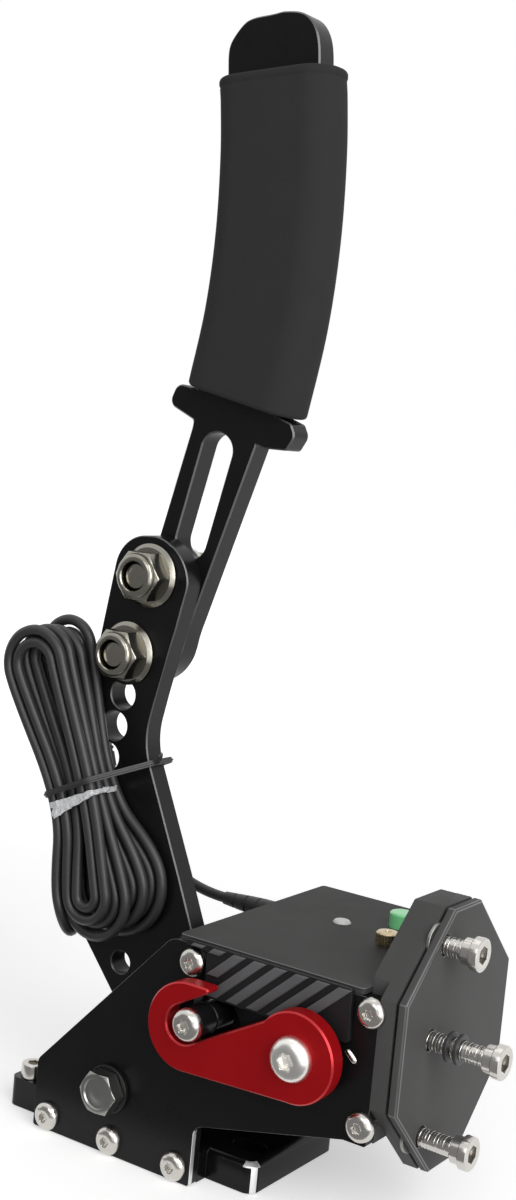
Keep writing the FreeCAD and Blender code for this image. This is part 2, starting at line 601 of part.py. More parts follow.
# Plunger: a flat shoe in front of the drive pin and a rod into the guide tube.
shoe_front = size("plunger_face") + size("plunger_shoe")
plunger = doc.addObject("PartDesign::Body", "plunger")
pad = plunger.newObject("PartDesign::Pad", "plunger_shoe")
pad.Profile = sketch(plunger, "plunger_shoe_outline", "YZ_Plane", [box_loop(-half_base + 0.5, 45, -8, 69.8, 2)])
pad.setExpression("Length", cell("plunger_shoe"))
pad = plunger.newObject("PartDesign::Pad", "plunger_rod")
pad.Profile = sketch(plunger, "plunger_rod_circle", "YZ_Plane",
                     circles=[(line_y, size("preload_height"), "rod_radius")])
pad.setExpression("Length", "Dimensions.rod_end - Dimensions.plunger_face")
plunger.setExpression("Placement.Base.x", "Dimensions.plunger_face * 1 mm")
node(plunger, "plunger")

# Lever, lower arm: pivot boss, nose with the drive pin, rear bend and the row of adjustment holes.
bolt_holes = [(-24, 187), (-30.7, 159.4)]
open_holes = [(-31.6, 144.8), (-34, 133.5), (-36.4, 122.2)]
arm_corners = [
    (-38.2, 199.6, 13), (-10, 201.4, 13), (-12.6, 170, 60), (-20.9, 130, 25), (-1, 86.5, 30), (8, 65.9, 6),
    (45.6, 64.6, 7.5), (44.4, 48.4, 8), (14.5, 30, 12), (9, 11.2, 9.5), (-11.5, 10.4, 10), (-12.6, 25.5, 16),
    (-47.5, 66, 30), (-47.5, 140, 60)]
arm = plate("lower_arm", "XZ_Plane", cell("arm_thickness"), arm_corners, (),
            [(0, pivot_z, 6), (pin_x, pin_z, size("m6_radius") + size("fit")), (-22.8, 52, 4)]
            + [(x, z, "m10_clearance") for x, z in bolt_holes + open_holes],
            "-Dimensions.arm_thickness / 2 * 1 mm")
turned("pivot_bush", tube_profile(size("m8_radius") + size("fit"), 6 - size("fit"), -6, 6),
       facing(0, 0, pivot_z, RIGHT))

# Lever, handle bar: the slotted web, the guard across it and the tongue inside the grip.
bar_y = "Dimensions.arm_thickness / 2 * 1 mm"
bar_corners = [
    (-14.6, 146.6, 10), (-12.8, 168, 40), (9.6, 238, 12), (18.6, 258, 30), (24.2, 302, 200), (18.4, 366.8, 0),
    (12.6, 373.9, 6), (-10, 373.9, 8), (-17.6, 364, 4), (-16.2, 352, 0), (-11.8, 302, 200), (-17.4, 258, 20),
    (-18.2, 238.5, 12), (-28.3, 198.9, 40), (-39, 166, 30), (-41, 146.6, 12)]
slot_mid = ((-7.2 - 14.5) / 2, (231 + 200) / 2)
slot_turn = math.atan2(231 - 200, -7.2 + 14.5)
handle_slot = slot(slot_mid[0], slot_mid[1], math.hypot(7.3, 31) + 12.5, 12.5, slot_turn)
bar = plate("handle_bar", "XZ_Plane", cell("bar_thickness"), bar_corners, [handle_slot],
            [(x, z, "m10_clearance") for x, z in bolt_holes], bar_y)
guard = bar.newObject("PartDesign::Pad", "handle_guard")
guard.Profile = sketch(bar, "handle_guard_outline", "XZ_Plane", [[
    (-26, 252.6, 3.5), (-29, 245.4, 3), (-18, 240.6, 3), (12, 233.4, 3), (26, 233.4, 3), (31, 239.4, 3),
    (27.5, 243.6, 3)]])
guard.setExpression("Length", cell("guard_thickness"))
guard.Reversed = True
doc.recompute()

# Foam grip: a tall rounded tube along a slightly bowed line, round the handle bar's tongue.
grip_y = size("grip_plane")


def grip_section(x, z, lean, width, depth):
    """A rounded section square to the grip's bowed line."""
    round_r = depth / 2 - 0.5
    cross = V(math.cos(lean), 0, -math.sin(lean))
    deep = V(0, 1, 0)
    centre = V(x, grip_y, z)
    edges = []
    for geometry in rounded(box_loop(-width / 2, -depth / 2, width / 2, depth / 2, round_r)):
        points = [geometry.StartPoint, geometry.EndPoint]
        if not isinstance(geometry, Part.LineSegment):
            middle = (geometry.FirstParameter + geometry.LastParameter) / 2
            points.insert(1, geometry.value(middle))
        places = [centre + cross * p.x + deep * p.y for p in points]
        edges.append(Part.Arc(*places).toShape() if len(places) == 3 else Part.LineSegment(*places).toShape())
    return Part.Wire(Part.__sortEdges__(edges))


grip_places = [(0.2, 249.5, 0.17), (4.6, 275, 0.09), (6.3, 302, 0.0), (5.4, 330, -0.06), (2.6, 354.6, -0.08)]
sections = []
for x, z, lean in grip_places:
    sections.append(grip_section(x, z, lean, size("grip_width"), size("grip_depth")))
grip_outer = Part.makeLoft(sections, True, False)
inner_sections = []
for x, z, lean in [(-0.2, 240, 0.17)] + grip_places + [(2.2, 362, -0.08)]:
    wire = Part.makePolygon([V(x, 0, z) + V(math.cos(lean), 0, -math.sin(lean)) * a + V(0, b, 0) for a, b in (
        (-20, 3.7), (20, 3.7), (20, 13.3), (-20, 13.3), (-20, 3.7))])
    inner_sections.append(wire)
grip_inner = Part.makeLoft(inner_sections, True, False)
grip = doc.addObject("Part::Feature", "foam_grip")
grip.Shape = grip_outer.cut(grip_inner)
node(grip, "foam_grip")

# Lever fasteners: two M10 bolts from the right, flanged lock nuts on the left.
bar_face = size("arm_thickness") / 2 + size("bar_thickness")
arm_face = size("arm_thickness") / 2
m10_bolt = doc.addObject("PartDesign::Body", "m10_bolt")
pad = m10_bolt.newObject("PartDesign::Pad", "m10_bolt_head")
pad.Profile = sketch(m10_bolt, "m10_bolt_hexagon", "XY_Plane", [hexagon(16)])
pad.Length = 6.4
pad = m10_bolt.newObject("PartDesign::Pad", "m10_bolt_shank")
pad.Profile = sketch(m10_bolt, "m10_bolt_circle", "XY_Plane", circles=[(0, 0, "m10_radius")])
pad.Length = bar_face + arm_face + 2 + 11
pad.Reversed = True
group("lever_bolts", m10_bolt, [facing(x, bar_face + 2, z, RIGHT) for x, z in bolt_holes])
washer = turned("m10_washer", tube_profile(5.2, 10, 0, 2), listed=False)
group("lever_washers", washer, [facing(x, bar_face, z, RIGHT) for x, z in bolt_holes])
m10_nut = hex_nut("m10_nut", 16, 8.4, size("m10_radius") + size("fit"), flange_radius=10.9, collar=1.8)
group("lever_lock_nuts", m10_nut, [facing(x, -arm_face, z, LEFT) for x, z in bolt_holes])

# Drive pin: a hardened sleeve on a long M6 button-head screw.
pin_face = size("pin_reach")
turned("drive_pin_sleeve", tube_profile(size("m6_radius") + size("fit"), size("pin_sleeve_radius"), arm_face,
                                        pin_face, 0.4), facing(pin_x, 0, pin_z, LEFT))
pin_screw = screw("m6_button_screw", size("m6_radius"), pin_face + arm_face, 5.25, 3.3, 2.3, 4, 1.9)
group("drive_pin_screw", pin_screw, [facing(pin_x, -pin_face, pin_z, LEFT)])

# Sensor arm: hub, hooked slot that the drive pin slides in, and the shaft with its magnet.
slot_lean = math.radians(29.5)
inner_end = (33.6, 55.6)
slot_r = 6.3
way = (math.cos(slot_lean), math.sin(slot_lean))
side_way = (-math.sin(slot_lean), math.cos(slot_lean))


def beside(distance, offset):
    """A point along the slot's middle line and square to it."""
    return (inner_end[0] + distance * way[0] + offset * side_way[0],
            inner_end[1] + distance * way[1] + offset * side_way[1])


hub_r = 14
hook_corners = [
    beside(-slot_r, -slot_r) + (slot_r,), beside(37, -slot_r) + (3,), (sensor_x, sensor_z + hub_r, 0),
    (sensor_x, sensor_z - hub_r + 0.1, 0), (20, 40, 13.6), (20, 69, 14.5), (42.5, 69, 0.8),
    beside(12.5, slot_r) + (0.6,), beside(-slot_r, slot_r) + (slot_r,)]
red_arm = doc.addObject("PartDesign::Body", "sensor_arm")
pad = red_arm.newObject("PartDesign::Pad", "sensor_arm_hook")
pad.Profile = sketch(red_arm, "sensor_arm_hook_outline", "XZ_Plane", [hook_corners])
pad.setExpression("Length", cell("sensor_arm_thickness"))
pad.Reversed = True
pad = red_arm.newObject("PartDesign::Pad", "sensor_arm_hub")
pad.Profile = sketch(red_arm, "sensor_arm_hub_circle", "XZ_Plane", circles=[(sensor_x, sensor_z, hub_r)])
pad.setExpression("Length", cell("sensor_arm_thickness"))
pad.Reversed = True
open_through(red_arm, "sensor_arm", "XZ_Plane", circles=[(sensor_x, sensor_z, "shaft_radius")])
red_arm.setExpression("Placement.Base.y", "-Dimensions.sensor_arm_outer * 1 mm")
node(red_arm, "sensor_arm")
turned("sensor_shaft", [(0, half_base + 2, 0), (4, half_base + 2, 0.3),
                                (4, size("sensor_arm_outer"), 0), (2.05, size("sensor_arm_outer"), 0),
                                (2.05, half_base + 6, 0), (0, half_base + 6, 0)],
               facing(sensor_x, 0, sensor_z, LEFT))
turned("sensor_magnet", [(0, half_base + 0.5, 0), (3, half_base + 0.5, 0.2), (3, half_base + 2, 0),
                         (0, half_base + 2, 0)], facing(sensor_x, 0, sensor_z, LEFT))
arm_screw = screw("arm_button_screw", 2, 7, 7, 4.2, 3, 5, 2.6)
group("arm_screw", arm_screw, [facing(sensor_x, -size("sensor_arm_outer"), sensor_z, LEFT)])

# Cable hank: four layers of two turns, drawn in at the tie. Its own frame leans with the lever.
hank_x = -44.6
hank_z = 110.8
lean = math.radians(18.3)
top_end = 43.5
low_end = -37
waist = -6
left_pinch = 5
right_pinch = 2
layers = [-18.9, -14.7, -10.5, -6.3]
top_shift = [0, 0.5, 2, 4]
left_shift = [5, 5, 5, 6]
right_shift = [2, 7, 12, 17]
turn_pitch = 4.3
inner_left = 4.6


def hank_point(v, u, y):
    return V(hank_x + v * math.cos(lean) - u * math.sin(lean), y,
             hank_z + v * math.sin(lean) + u * math.cos(lean))


UPWARD = V(-math.sin(lean), 0, math.cos(lean))


def biarc(p0, t0, p1, t1, share=0.5):
    """Two tangent arcs between two points; with equal directions, share is the first arc's part."""
    chord = p1 - p0
    a = 2 * (t0.dot(t1) - 1)
    b = -2 * chord.dot(t0 + t1)
    c = chord.dot(chord)
    if abs(a) < 1e-9:
        d = -c / b
    else:
        d = (-b - math.sqrt(b * b - 4 * a * c)) / (2 * a)
    joint = (p0 + p1 + (t0 - t1) * d) * 0.5
    if abs(a) < 1e-9:
        joint = p0 + chord * share
    along = joint - p0
    middle = t0 * -1 + along * (2 * along.dot(t0) / along.dot(along))
    edges = []
    for start, direction, end in ((p0, t0, joint), (joint, middle, p1)):
        span = end - start
        if V(span).normalize().cross(direction).Length < 1e-6:
            edges.append(Part.LineSegment(start, end).toShape())
            continue
        last = direction * -1 + span * (2 * span.dot(direction) / span.dot(span))
        half = V(direction + last).normalize()
        side = span.cross(direction).cross(span).normalize()
        angle = direction.getAngle(span)
        rise = span.Length / 2 * math.tan(angle / 2)
        edges.append(Part.Arc(start, start + span * 0.5 + side * rise, end).toShape())
    return edges


hank_edges = []
hank_start = hank_point(-(inner_left + 2 * turn_pitch) + left_shift[0], low_end, layers[0])


def run_up(offset, layer, next_layer):
    """A left-hand strand from the lower fold to the upper one."""
    low = hank_point(-offset + left_shift[layer], low_end, layers[layer])
    middle_y = (layers[layer] + layers[next_layer]) / 2
    middle = hank_point(-offset + left_pinch, waist, middle_y)
    high = hank_point(-offset + top_shift[next_layer], top_end, layers[next_layer])
    rise = V(0, layers[next_layer] - layers[layer], 0)
    heading = (UPWARD * (top_end - low_end) + rise).normalize()
    hank_edges.extend(biarc(low, UPWARD, middle, heading) + biarc(middle, heading, high, UPWARD))
    return high


def side_share(distance, length, offset):
    """The first arc's share that keeps neighbouring strands of a slanted run parallel."""
    radii = length / math.sin(2 * math.atan(distance / length))
    return 0.5 + (offset - inner_left - turn_pitch) / radii


def run_down(offset, layer):
    high = hank_point(offset + top_shift[layer], top_end, layers[layer])
    middle = hank_point(offset - right_pinch, waist, layers[layer])
    low = hank_point(offset + right_shift[layer], low_end, layers[layer])
    down = UPWARD * -1
    upper = side_share(right_pinch + top_shift[layer], top_end - waist, offset)
    lower = 1 - side_share(right_pinch + right_shift[layer], waist - low_end, offset)
    hank_edges.extend(biarc(high, down, middle, down, upper) + biarc(middle, down, low, down, lower))
    return low


def fold(start, end, outward):
    """A half turn in two quarters."""
    centre = (start + end) * 0.5
    crown = centre + outward * (start.distanceToPoint(end) / 2)
    for first, second in ((start, crown), (crown, end)):
        bulge = (first + second) * 0.5 - centre
        middle = centre + V(bulge).normalize() * (start.distanceToPoint(end) / 2)
        hank_edges.append(Part.Arc(first, middle, second).toShape())


widths = [inner_left + turn_pitch * step / 2 for step in range(5)]
place = run_up(widths[4], 0, 0)
for layer in range(4):
    order = widths[::-1][1:] if layer % 2 == 0 else widths[1:]
    if layer % 2 == 1:
        order = order[:4]
    downs = (order[0], order[2])
    ups = (order[1], order[3])
    for number in range(2):
        high = hank_point(downs[number] + top_shift[layer], top_end, layers[layer])
        fold(place, high, UPWARD)
        low = run_down(downs[number], layer)
        goal = hank_point(-ups[number] + left_shift[layer], low_end, layers[layer])
        fold(low, goal, UPWARD * -1)
        next_layer = min(layer + number, 3)
        place = run_up(ups[number], layer, next_layer)
plug_v = -3
plug_y = arm_face + 5.5
hank_end = hank_point(plug_v, top_end, plug_y)
fold(place, hank_end, UPWARD)
plug_top = hank_point(plug_v, 28, plug_y)
hank_edges.append(Part.LineSegment(hank_end, plug_top).toShape())
hank_wire = Part.Wire(hank_edges)


def swept(name, wire, start, direction, radius):
    """A round tube along a wire."""
    profile = Part.Wire(Part.Circle(start, direction, radius).toShape())
    shape = wire.makePipeShell([profile], True, False)
    item = doc.addObject("Part::Feature", name)
    item.Shape = shape
    print(name, "volume %.0f, section times length %.0f" % (
        shape.Volume, math.pi * radius ** 2 * wire.Length))
    return node(item, name)


swept("cable_hank", hank_wire, hank_start, UPWARD, cord_r)


def least_gap(wire, radius):
    """The least space between two strands of the same tube, measured on points."""
    points = []
    for edge in wire.OrderedEdges:
        points += edge.discretize(max(3, int(edge.Length / 1.0)))[:-1]
    length = 0
    stations = [0]
    for first, second in zip(points, points[1:]):
        length += first.distanceToPoint(second)
        stations.append(length)
    least = 1e9
    for i in range(len(points)):
        for j in range(i + 1, len(points)):
            if stations[j] - stations[i] < 9 * radius:
                continue
            if abs(points[i].x - points[j].x) > 8 or abs(points[i].z - points[j].z) > 8:
                continue
            distance = points[i].distanceToPoint(points[j])
            if distance < least:
                least = distance
                where = points[i]
    print("closest strands at x %.1f y %.1f z %.1f" % (where.x, where.y, where.z))
    return least - 2 * radius


print("cable_hank least gap to itself %.2f" % least_gap(hank_wire, cord_r))

# Plug at the free end, tucked against the right face of the lower arm.


def leaning_box(name, v, u_low, u_high, y, width, depth, rounding):
    """A rounded box that stands along the hank's upward direction."""
    body = doc.addObject("PartDesign::Body", name)
    pad = body.newObject("PartDesign::Pad", name + "_pad")
    pad.Profile = sketch(body, name + "_outline", "XY_Plane", [
        box_loop(-width / 2, -depth / 2, width / 2, depth / 2, rounding)])
    pad.Length = u_high - u_low
    body.Placement = FreeCAD.Placement(hank_point(v, u_low, y), FreeCAD.Rotation(V(0, 1, 0), -math.degrees(lean)))
    return node(body, name)


leaning_box("usb_plug_housing", plug_v, 4, 28, plug_y, 15, 7.6, 2)
leaning_box("usb_plug_shell", plug_v, -12, 4, plug_y, 12, 4.5, 0.5)

# Cable tie: a flat band round the hank and the lower arm, square to the strands but for a small tilt.
tie_tilt = math.radians(7)
tie_outer = [(-13.6, -17.9), (-9.3, -22.5), (9.7, -22.5), (13, -18.8), (31.4, -4.9), (31.4, 5.6), (-13.6, 5.6)]
tie_line = [(v, y, 1.2) for v, y in tie_outer]
tie = doc.addObject("PartDesign::Body", "cable_tie")
tie_pad = tie.newObject("PartDesign::Pad", "cable_tie_pad")


def inset(corners, distance):
    """The outline moved inwards by a distance, with its roundings made smaller."""
    result = []
    for index, (x, y, radius) in enumerate(corners):
        here = V(x, y, 0)
        before = (here - V(*corners[index - 1][:2], 0)).normalize()
        after = (V(*corners[(index + 1) % len(corners)][:2], 0) - here).normalize()
        normals = (V(-before.y, before.x, 0), V(-after.y, after.x, 0))
        bisector = normals[0] + normals[1]
        shift = bisector * (distance / (1 + normals[0].dot(normals[1])))
        result.append((x + shift.x, y + shift.y, max(0.2, radius - distance)))
    return result


tie_pad.Profile = sketch(tie, "cable_tie_outline", "XY_Plane", [tie_line, inset(tie_line, 0.9)])
tie_pad.Length = 2.6
tie.Placement = FreeCAD.Placement(hank_point(0, waist - 1.3, 0),
                                  FreeCAD.Rotation(V(0, 1, 0), -math.degrees(lean + tie_tilt)))
node(tie, "cable_tie")

# Cable lead: from the gland round the back of the lever to the first strand of the hank.
turn_r = 12.5
half_side = turn_r * math.tan(math.radians(22.5))
aside = V(-12, 22, 0)
aside = (aside - UPWARD * aside.dot(UPWARD)).normalize()
turn_centre = hank_start - UPWARD * half_side + aside * turn_r
turn_corners = []
for degrees in (157.5, 112.5, 67.5, 22.5):
    angle = math.radians(degrees)
    spoke = aside * -math.cos(angle) - UPWARD * math.sin(angle)
    turn_corners.append(turn_centre + spoke * (turn_r / math.cos(math.radians(22.5))))
lead_points = [
    V(size("tray_rear") - gland_end, size("gland_y"), size("gland_height")),
    V(-12, size("gland_y"), size("gland_height")), V(-28, 20.5, 84), V(-43, 14.5, 89.5),
    V(-53, 6, 81)] + turn_corners + [hank_start]
lead_edges = []
lead_radii = []
place = lead_points[0]
for before, corner, after in zip(lead_points, lead_points[1:], lead_points[2:]):
    arrive = V(corner - before)
    leave = V(after - corner)
    half = arrive.getAngle(leave) / 2
    radius = 0.45 * min(arrive.Length, leave.Length) / math.tan(half)
    reach = radius * math.tan(half)
    arrive.normalize()
    leave.normalize()
    start = corner - arrive * reach
    end = corner + leave * reach
    middle_way = V(leave - arrive).normalize()
    middle = corner + middle_way * (radius / math.cos(half) - radius)
    lead_edges.append(Part.LineSegment(place, start).toShape())
    lead_edges.append(Part.Arc(start, middle, end).toShape())
    lead_radii.append(radius)
    place = end
lead_edges.append(Part.LineSegment(place, lead_points[-1]).toShape())
lead_wire = Part.Wire(lead_edges)
swept("cable_lead", lead_wire, lead_points[0], lead_points[1] - lead_points[0], cord_r)
print("cable_lead turn radii", ["%.1f" % radius for radius in lead_radii], "cord radius", cord_r)
print("cable length %.0f" % (lead_wire.Length + hank_wire.Length))

# Preload spring: open coils in quarter turns between the plunger's shoe and the seat.
spring_start = shoe_front + 0.3 + size("spring_wire_radius")
spring_end = size("seat_face") - 0.3 - size("spring_wire_radius")
spring_turns = int(size("spring_turns"))
coil_r = size("spring_radius")
spring_rise = (spring_end - spring_start) / (spring_turns * 4)
spring_edges = []


def coil_place(step):
    angle = math.pi / 2 * step
    point = V(spring_start + spring_rise * step, line_y + coil_r * math.cos(angle),
              size("preload_height") + coil_r * math.sin(angle))
    heading = V(spring_rise / (math.pi / 2) / coil_r, -math.sin(angle), math.cos(angle)).normalize()
    return point, heading


for step in range(spring_turns * 4):
    first, first_way = coil_place(step)
    second, second_way = coil_place(step + 1)
    spring_edges += biarc(first, first_way, second, second_way)
spring_wire = Part.Wire(spring_edges)
swept("preload_spring", spring_wire, *coil_place(0), size("spring_wire_radius"))

doc.recompute()
problems = []
for item in doc.Objects:
    if "Invalid" in item.State or "Error" in item.State:
        problems.append(item.Name + " " + str(item.State))
for item in nodes:
    shape = item.Shape
    if shape.isNull() or not shape.isValid() or not shape.Solids:
        problems.append(item.Label + " has no sound shape")
if problems:
    raise RuntimeError("; ".join(problems))
for item in nodes:
    item.Shape.exportStep("parts/%s.step" % item.Label)
    box = item.Shape.BoundBox
    print("%-20s solids %d volume %8.0f  x %.1f..%.1f y %.1f..%.1f z %.1f..%.1f" % (
        item.Label, len(item.Shape.Solids), item.Shape.Volume, box.XMin, box.XMax, box.YMin, box.YMax,
        box.ZMin, box.ZMax))
print(len(nodes), "nodes")
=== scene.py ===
# %% [markdown]
# # A sim racing handbrake
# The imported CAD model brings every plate, arm and shaft to its exact place, in metres.
# This script dresses it: it puts the camera where the photographer stood, winds the cable,
# gives the machined pieces their chamfers, replaces plain fasteners by turned ones, and
# mixes a finish for each material. It prints what it makes, so each cell can be checked.

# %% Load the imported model
import json
import math

import bmesh
import bpy
from mathutils import Matrix, Vector, noise


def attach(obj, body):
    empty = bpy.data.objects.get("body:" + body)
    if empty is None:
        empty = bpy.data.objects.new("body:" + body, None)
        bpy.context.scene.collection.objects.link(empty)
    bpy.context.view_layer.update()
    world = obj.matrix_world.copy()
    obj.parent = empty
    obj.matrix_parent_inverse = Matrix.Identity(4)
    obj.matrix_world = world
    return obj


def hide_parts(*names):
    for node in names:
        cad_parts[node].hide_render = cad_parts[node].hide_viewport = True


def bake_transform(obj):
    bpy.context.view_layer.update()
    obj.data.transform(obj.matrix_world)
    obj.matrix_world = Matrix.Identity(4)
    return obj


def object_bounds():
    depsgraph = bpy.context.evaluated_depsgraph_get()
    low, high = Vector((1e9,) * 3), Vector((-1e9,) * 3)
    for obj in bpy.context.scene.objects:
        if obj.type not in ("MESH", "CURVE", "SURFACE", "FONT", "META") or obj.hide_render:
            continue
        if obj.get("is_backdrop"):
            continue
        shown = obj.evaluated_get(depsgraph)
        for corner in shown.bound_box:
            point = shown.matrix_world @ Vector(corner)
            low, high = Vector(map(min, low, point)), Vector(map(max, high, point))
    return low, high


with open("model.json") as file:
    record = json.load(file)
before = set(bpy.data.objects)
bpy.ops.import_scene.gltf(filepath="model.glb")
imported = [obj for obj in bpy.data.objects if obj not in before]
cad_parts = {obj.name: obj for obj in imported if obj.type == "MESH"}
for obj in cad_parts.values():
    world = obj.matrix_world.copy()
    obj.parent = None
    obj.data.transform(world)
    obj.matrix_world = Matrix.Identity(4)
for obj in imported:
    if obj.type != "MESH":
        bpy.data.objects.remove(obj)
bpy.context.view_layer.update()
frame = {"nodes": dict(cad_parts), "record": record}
NODES = frame["nodes"]
BODY_OF = {}
for body, members in frame["record"]["behaviour"]["bodies"].items():
    for member in members:
        BODY_OF[member] = body
MM = 0.001


def linked(name, data):
    """A new object in the scene, for a mesh, a curve, a lamp or a camera."""
    item = bpy.data.objects.new(name, data)
    bpy.context.scene.collection.objects.link(item)
    return item


# %% [markdown]
# ## The camera
# A photograph fixes where the lens was. The view directions come from the straight edges of
# the plates, which meet in vanishing points, and the distance from the size of the screws.
# The camera is written down as a place and two directions, and needs no shift.

# %% Photo camera
CAMERA_PLACE = Vector((0.3202, -0.4568, 0.2413))
CAMERA_FORWARD = Vector((-0.5493, 0.8292, -0.1037)).normalized()
CAMERA_UP = Vector((-0.1348, 0.0345, 0.9903)).normalized()
SENSOR_MM, LENS_MM = 36, 50.47
camera_data = bpy.data.cameras.new("photo_camera")
camera_data.sensor_fit = "VERTICAL"
camera_data.sensor_width = SENSOR_MM
camera_data.sensor_height = SENSOR_MM
camera_data.lens = LENS_MM
camera_data.clip_start = 0.01
camera = linked("photo_camera", camera_data)
back = -CAMERA_FORWARD
right = CAMERA_UP.cross(back).normalized()
up = back.cross(right)
camera.matrix_world = Matrix((
    (right.x, up.x, back.x, CAMERA_PLACE.x),
    (right.y, up.y, back.y, CAMERA_PLACE.y),
    (right.z, up.z, back.z, CAMERA_PLACE.z),
    (0, 0, 0, 1)))
bpy.context.scene.camera = camera
print("camera distance from the origin, mm", round(CAMERA_PLACE.length / MM))

# %% [markdown]
# ## Building node trees
# Materials, the world and the Geometry Nodes trees are all graphs of nodes. One helper adds a
# node and fills its inputs by name, with a value or with the output of another node.

# %% Node helpers


def fill(tree, node, inputs):
    """Fill inputs of a node: a value is set, and the output of another node is linked."""
    for title, value in inputs.items():
        if isinstance(value, bpy.types.NodeSocket):
            tree.links.new(value, node.inputs[title])
        else:
            node.inputs[title].default_value = value


def add_node(tree, kind, inputs=None, **settings):
    """A new node with its settings made first, because they decide which inputs it has."""
    node = tree.nodes.new(kind)
    for title, value in settings.items():
        setattr(node, title, value)
    fill(tree, node, inputs or {})
    return node


# %% [markdown]
# ## A recipe for finishes
# Real metal, foam and plastic are never one flat colour. A fine grain roughens the surface,
# and broad patches change its colour and its gloss a little. Both come from noise in the
# object's own coordinates, so they stay on the piece when it moves. One function builds
# them all, and each finish only says how strong each effect is.

# %% Finish recipe
PATCH_MM = 14
GRAIN_SHARE = 0.45


def new_material(name):
    material = bpy.data.materials.new(name)
    material.use_nodes = True
    return material, material.node_tree


def finish(name, colour, metallic, roughness, grain, bump, patches=0.12, stretch=(1, 1, 1),
           specular=0.5, coat=0.0, sheen=0.0, pores=0.0, transmission=0.0):
    """A material: grain and bump in mm, roughness as (least, most), patches as a share of the colour."""
    material, tree = new_material(name)
    place = add_node(tree, "ShaderNodeTexCoord").outputs["Object"]
    stretched = add_node(tree, "ShaderNodeMapping", {"Vector": place, "Scale": stretch})
    fine = add_node(tree, "ShaderNodeTexNoise", {
        "Vector": stretched.outputs["Vector"], "Scale": 1 / (grain * MM), "Detail": 3}).outputs["Fac"]
    broad = add_node(tree, "ShaderNodeTexNoise", {
        "Vector": place, "Scale": 1 / (PATCH_MM * MM), "Detail": 4}).outputs["Fac"]
    tint = add_node(tree, "ShaderNodeMix", {
        "Factor": broad, "A": (*[c * (1 - patches) for c in colour], 1),
        "B": (*[min(1, c * (1 + patches)) for c in colour], 1)}, data_type="RGBA")
    worn = add_node(tree, "ShaderNodeMix", {"Factor": GRAIN_SHARE, "A": broad, "B": fine}, data_type="FLOAT")
    gloss = add_node(tree, "ShaderNodeMapRange", {
        "Value": worn.outputs["Result"], "From Min": 0.3, "From Max": 0.7,
        "To Min": roughness[0], "To Max": roughness[1]})
    height = fine
    if pores:
        cells = add_node(tree, "ShaderNodeTexVoronoi", {"Vector": place, "Scale": 1 / (pores * MM)})
        height = add_node(tree, "ShaderNodeMath", {0: fine, 1: cells.outputs["Distance"]},
                          operation="ADD").outputs["Value"]
    relief = add_node(tree, "ShaderNodeBump", {"Height": height, "Strength": 0.6, "Distance": bump * MM})
    fill(tree, tree.nodes["Principled BSDF"], {
        "Base Color": tint.outputs["Result"], "Metallic": metallic, "Roughness": gloss.outputs["Result"],
        "Normal": relief.outputs["Normal"], "Specular IOR Level": specular, "Coat Weight": coat,
        "Coat Roughness": 0.12, "Sheen Weight": sheen, "Transmission Weight": transmission})
    return material


# %% [markdown]
# ## The finishes of this handbrake
# The side plates and the lever are deep black anodised aluminium. The octagonal plates and
# the lid are bead-blasted and a little lighter. The screws are bright steel, the sensor arm
# is red anodised, and the grip is foam rubber. Turned steel gets a grain that is stretched
# along one axis, which gives the fine lines that a lathe leaves.

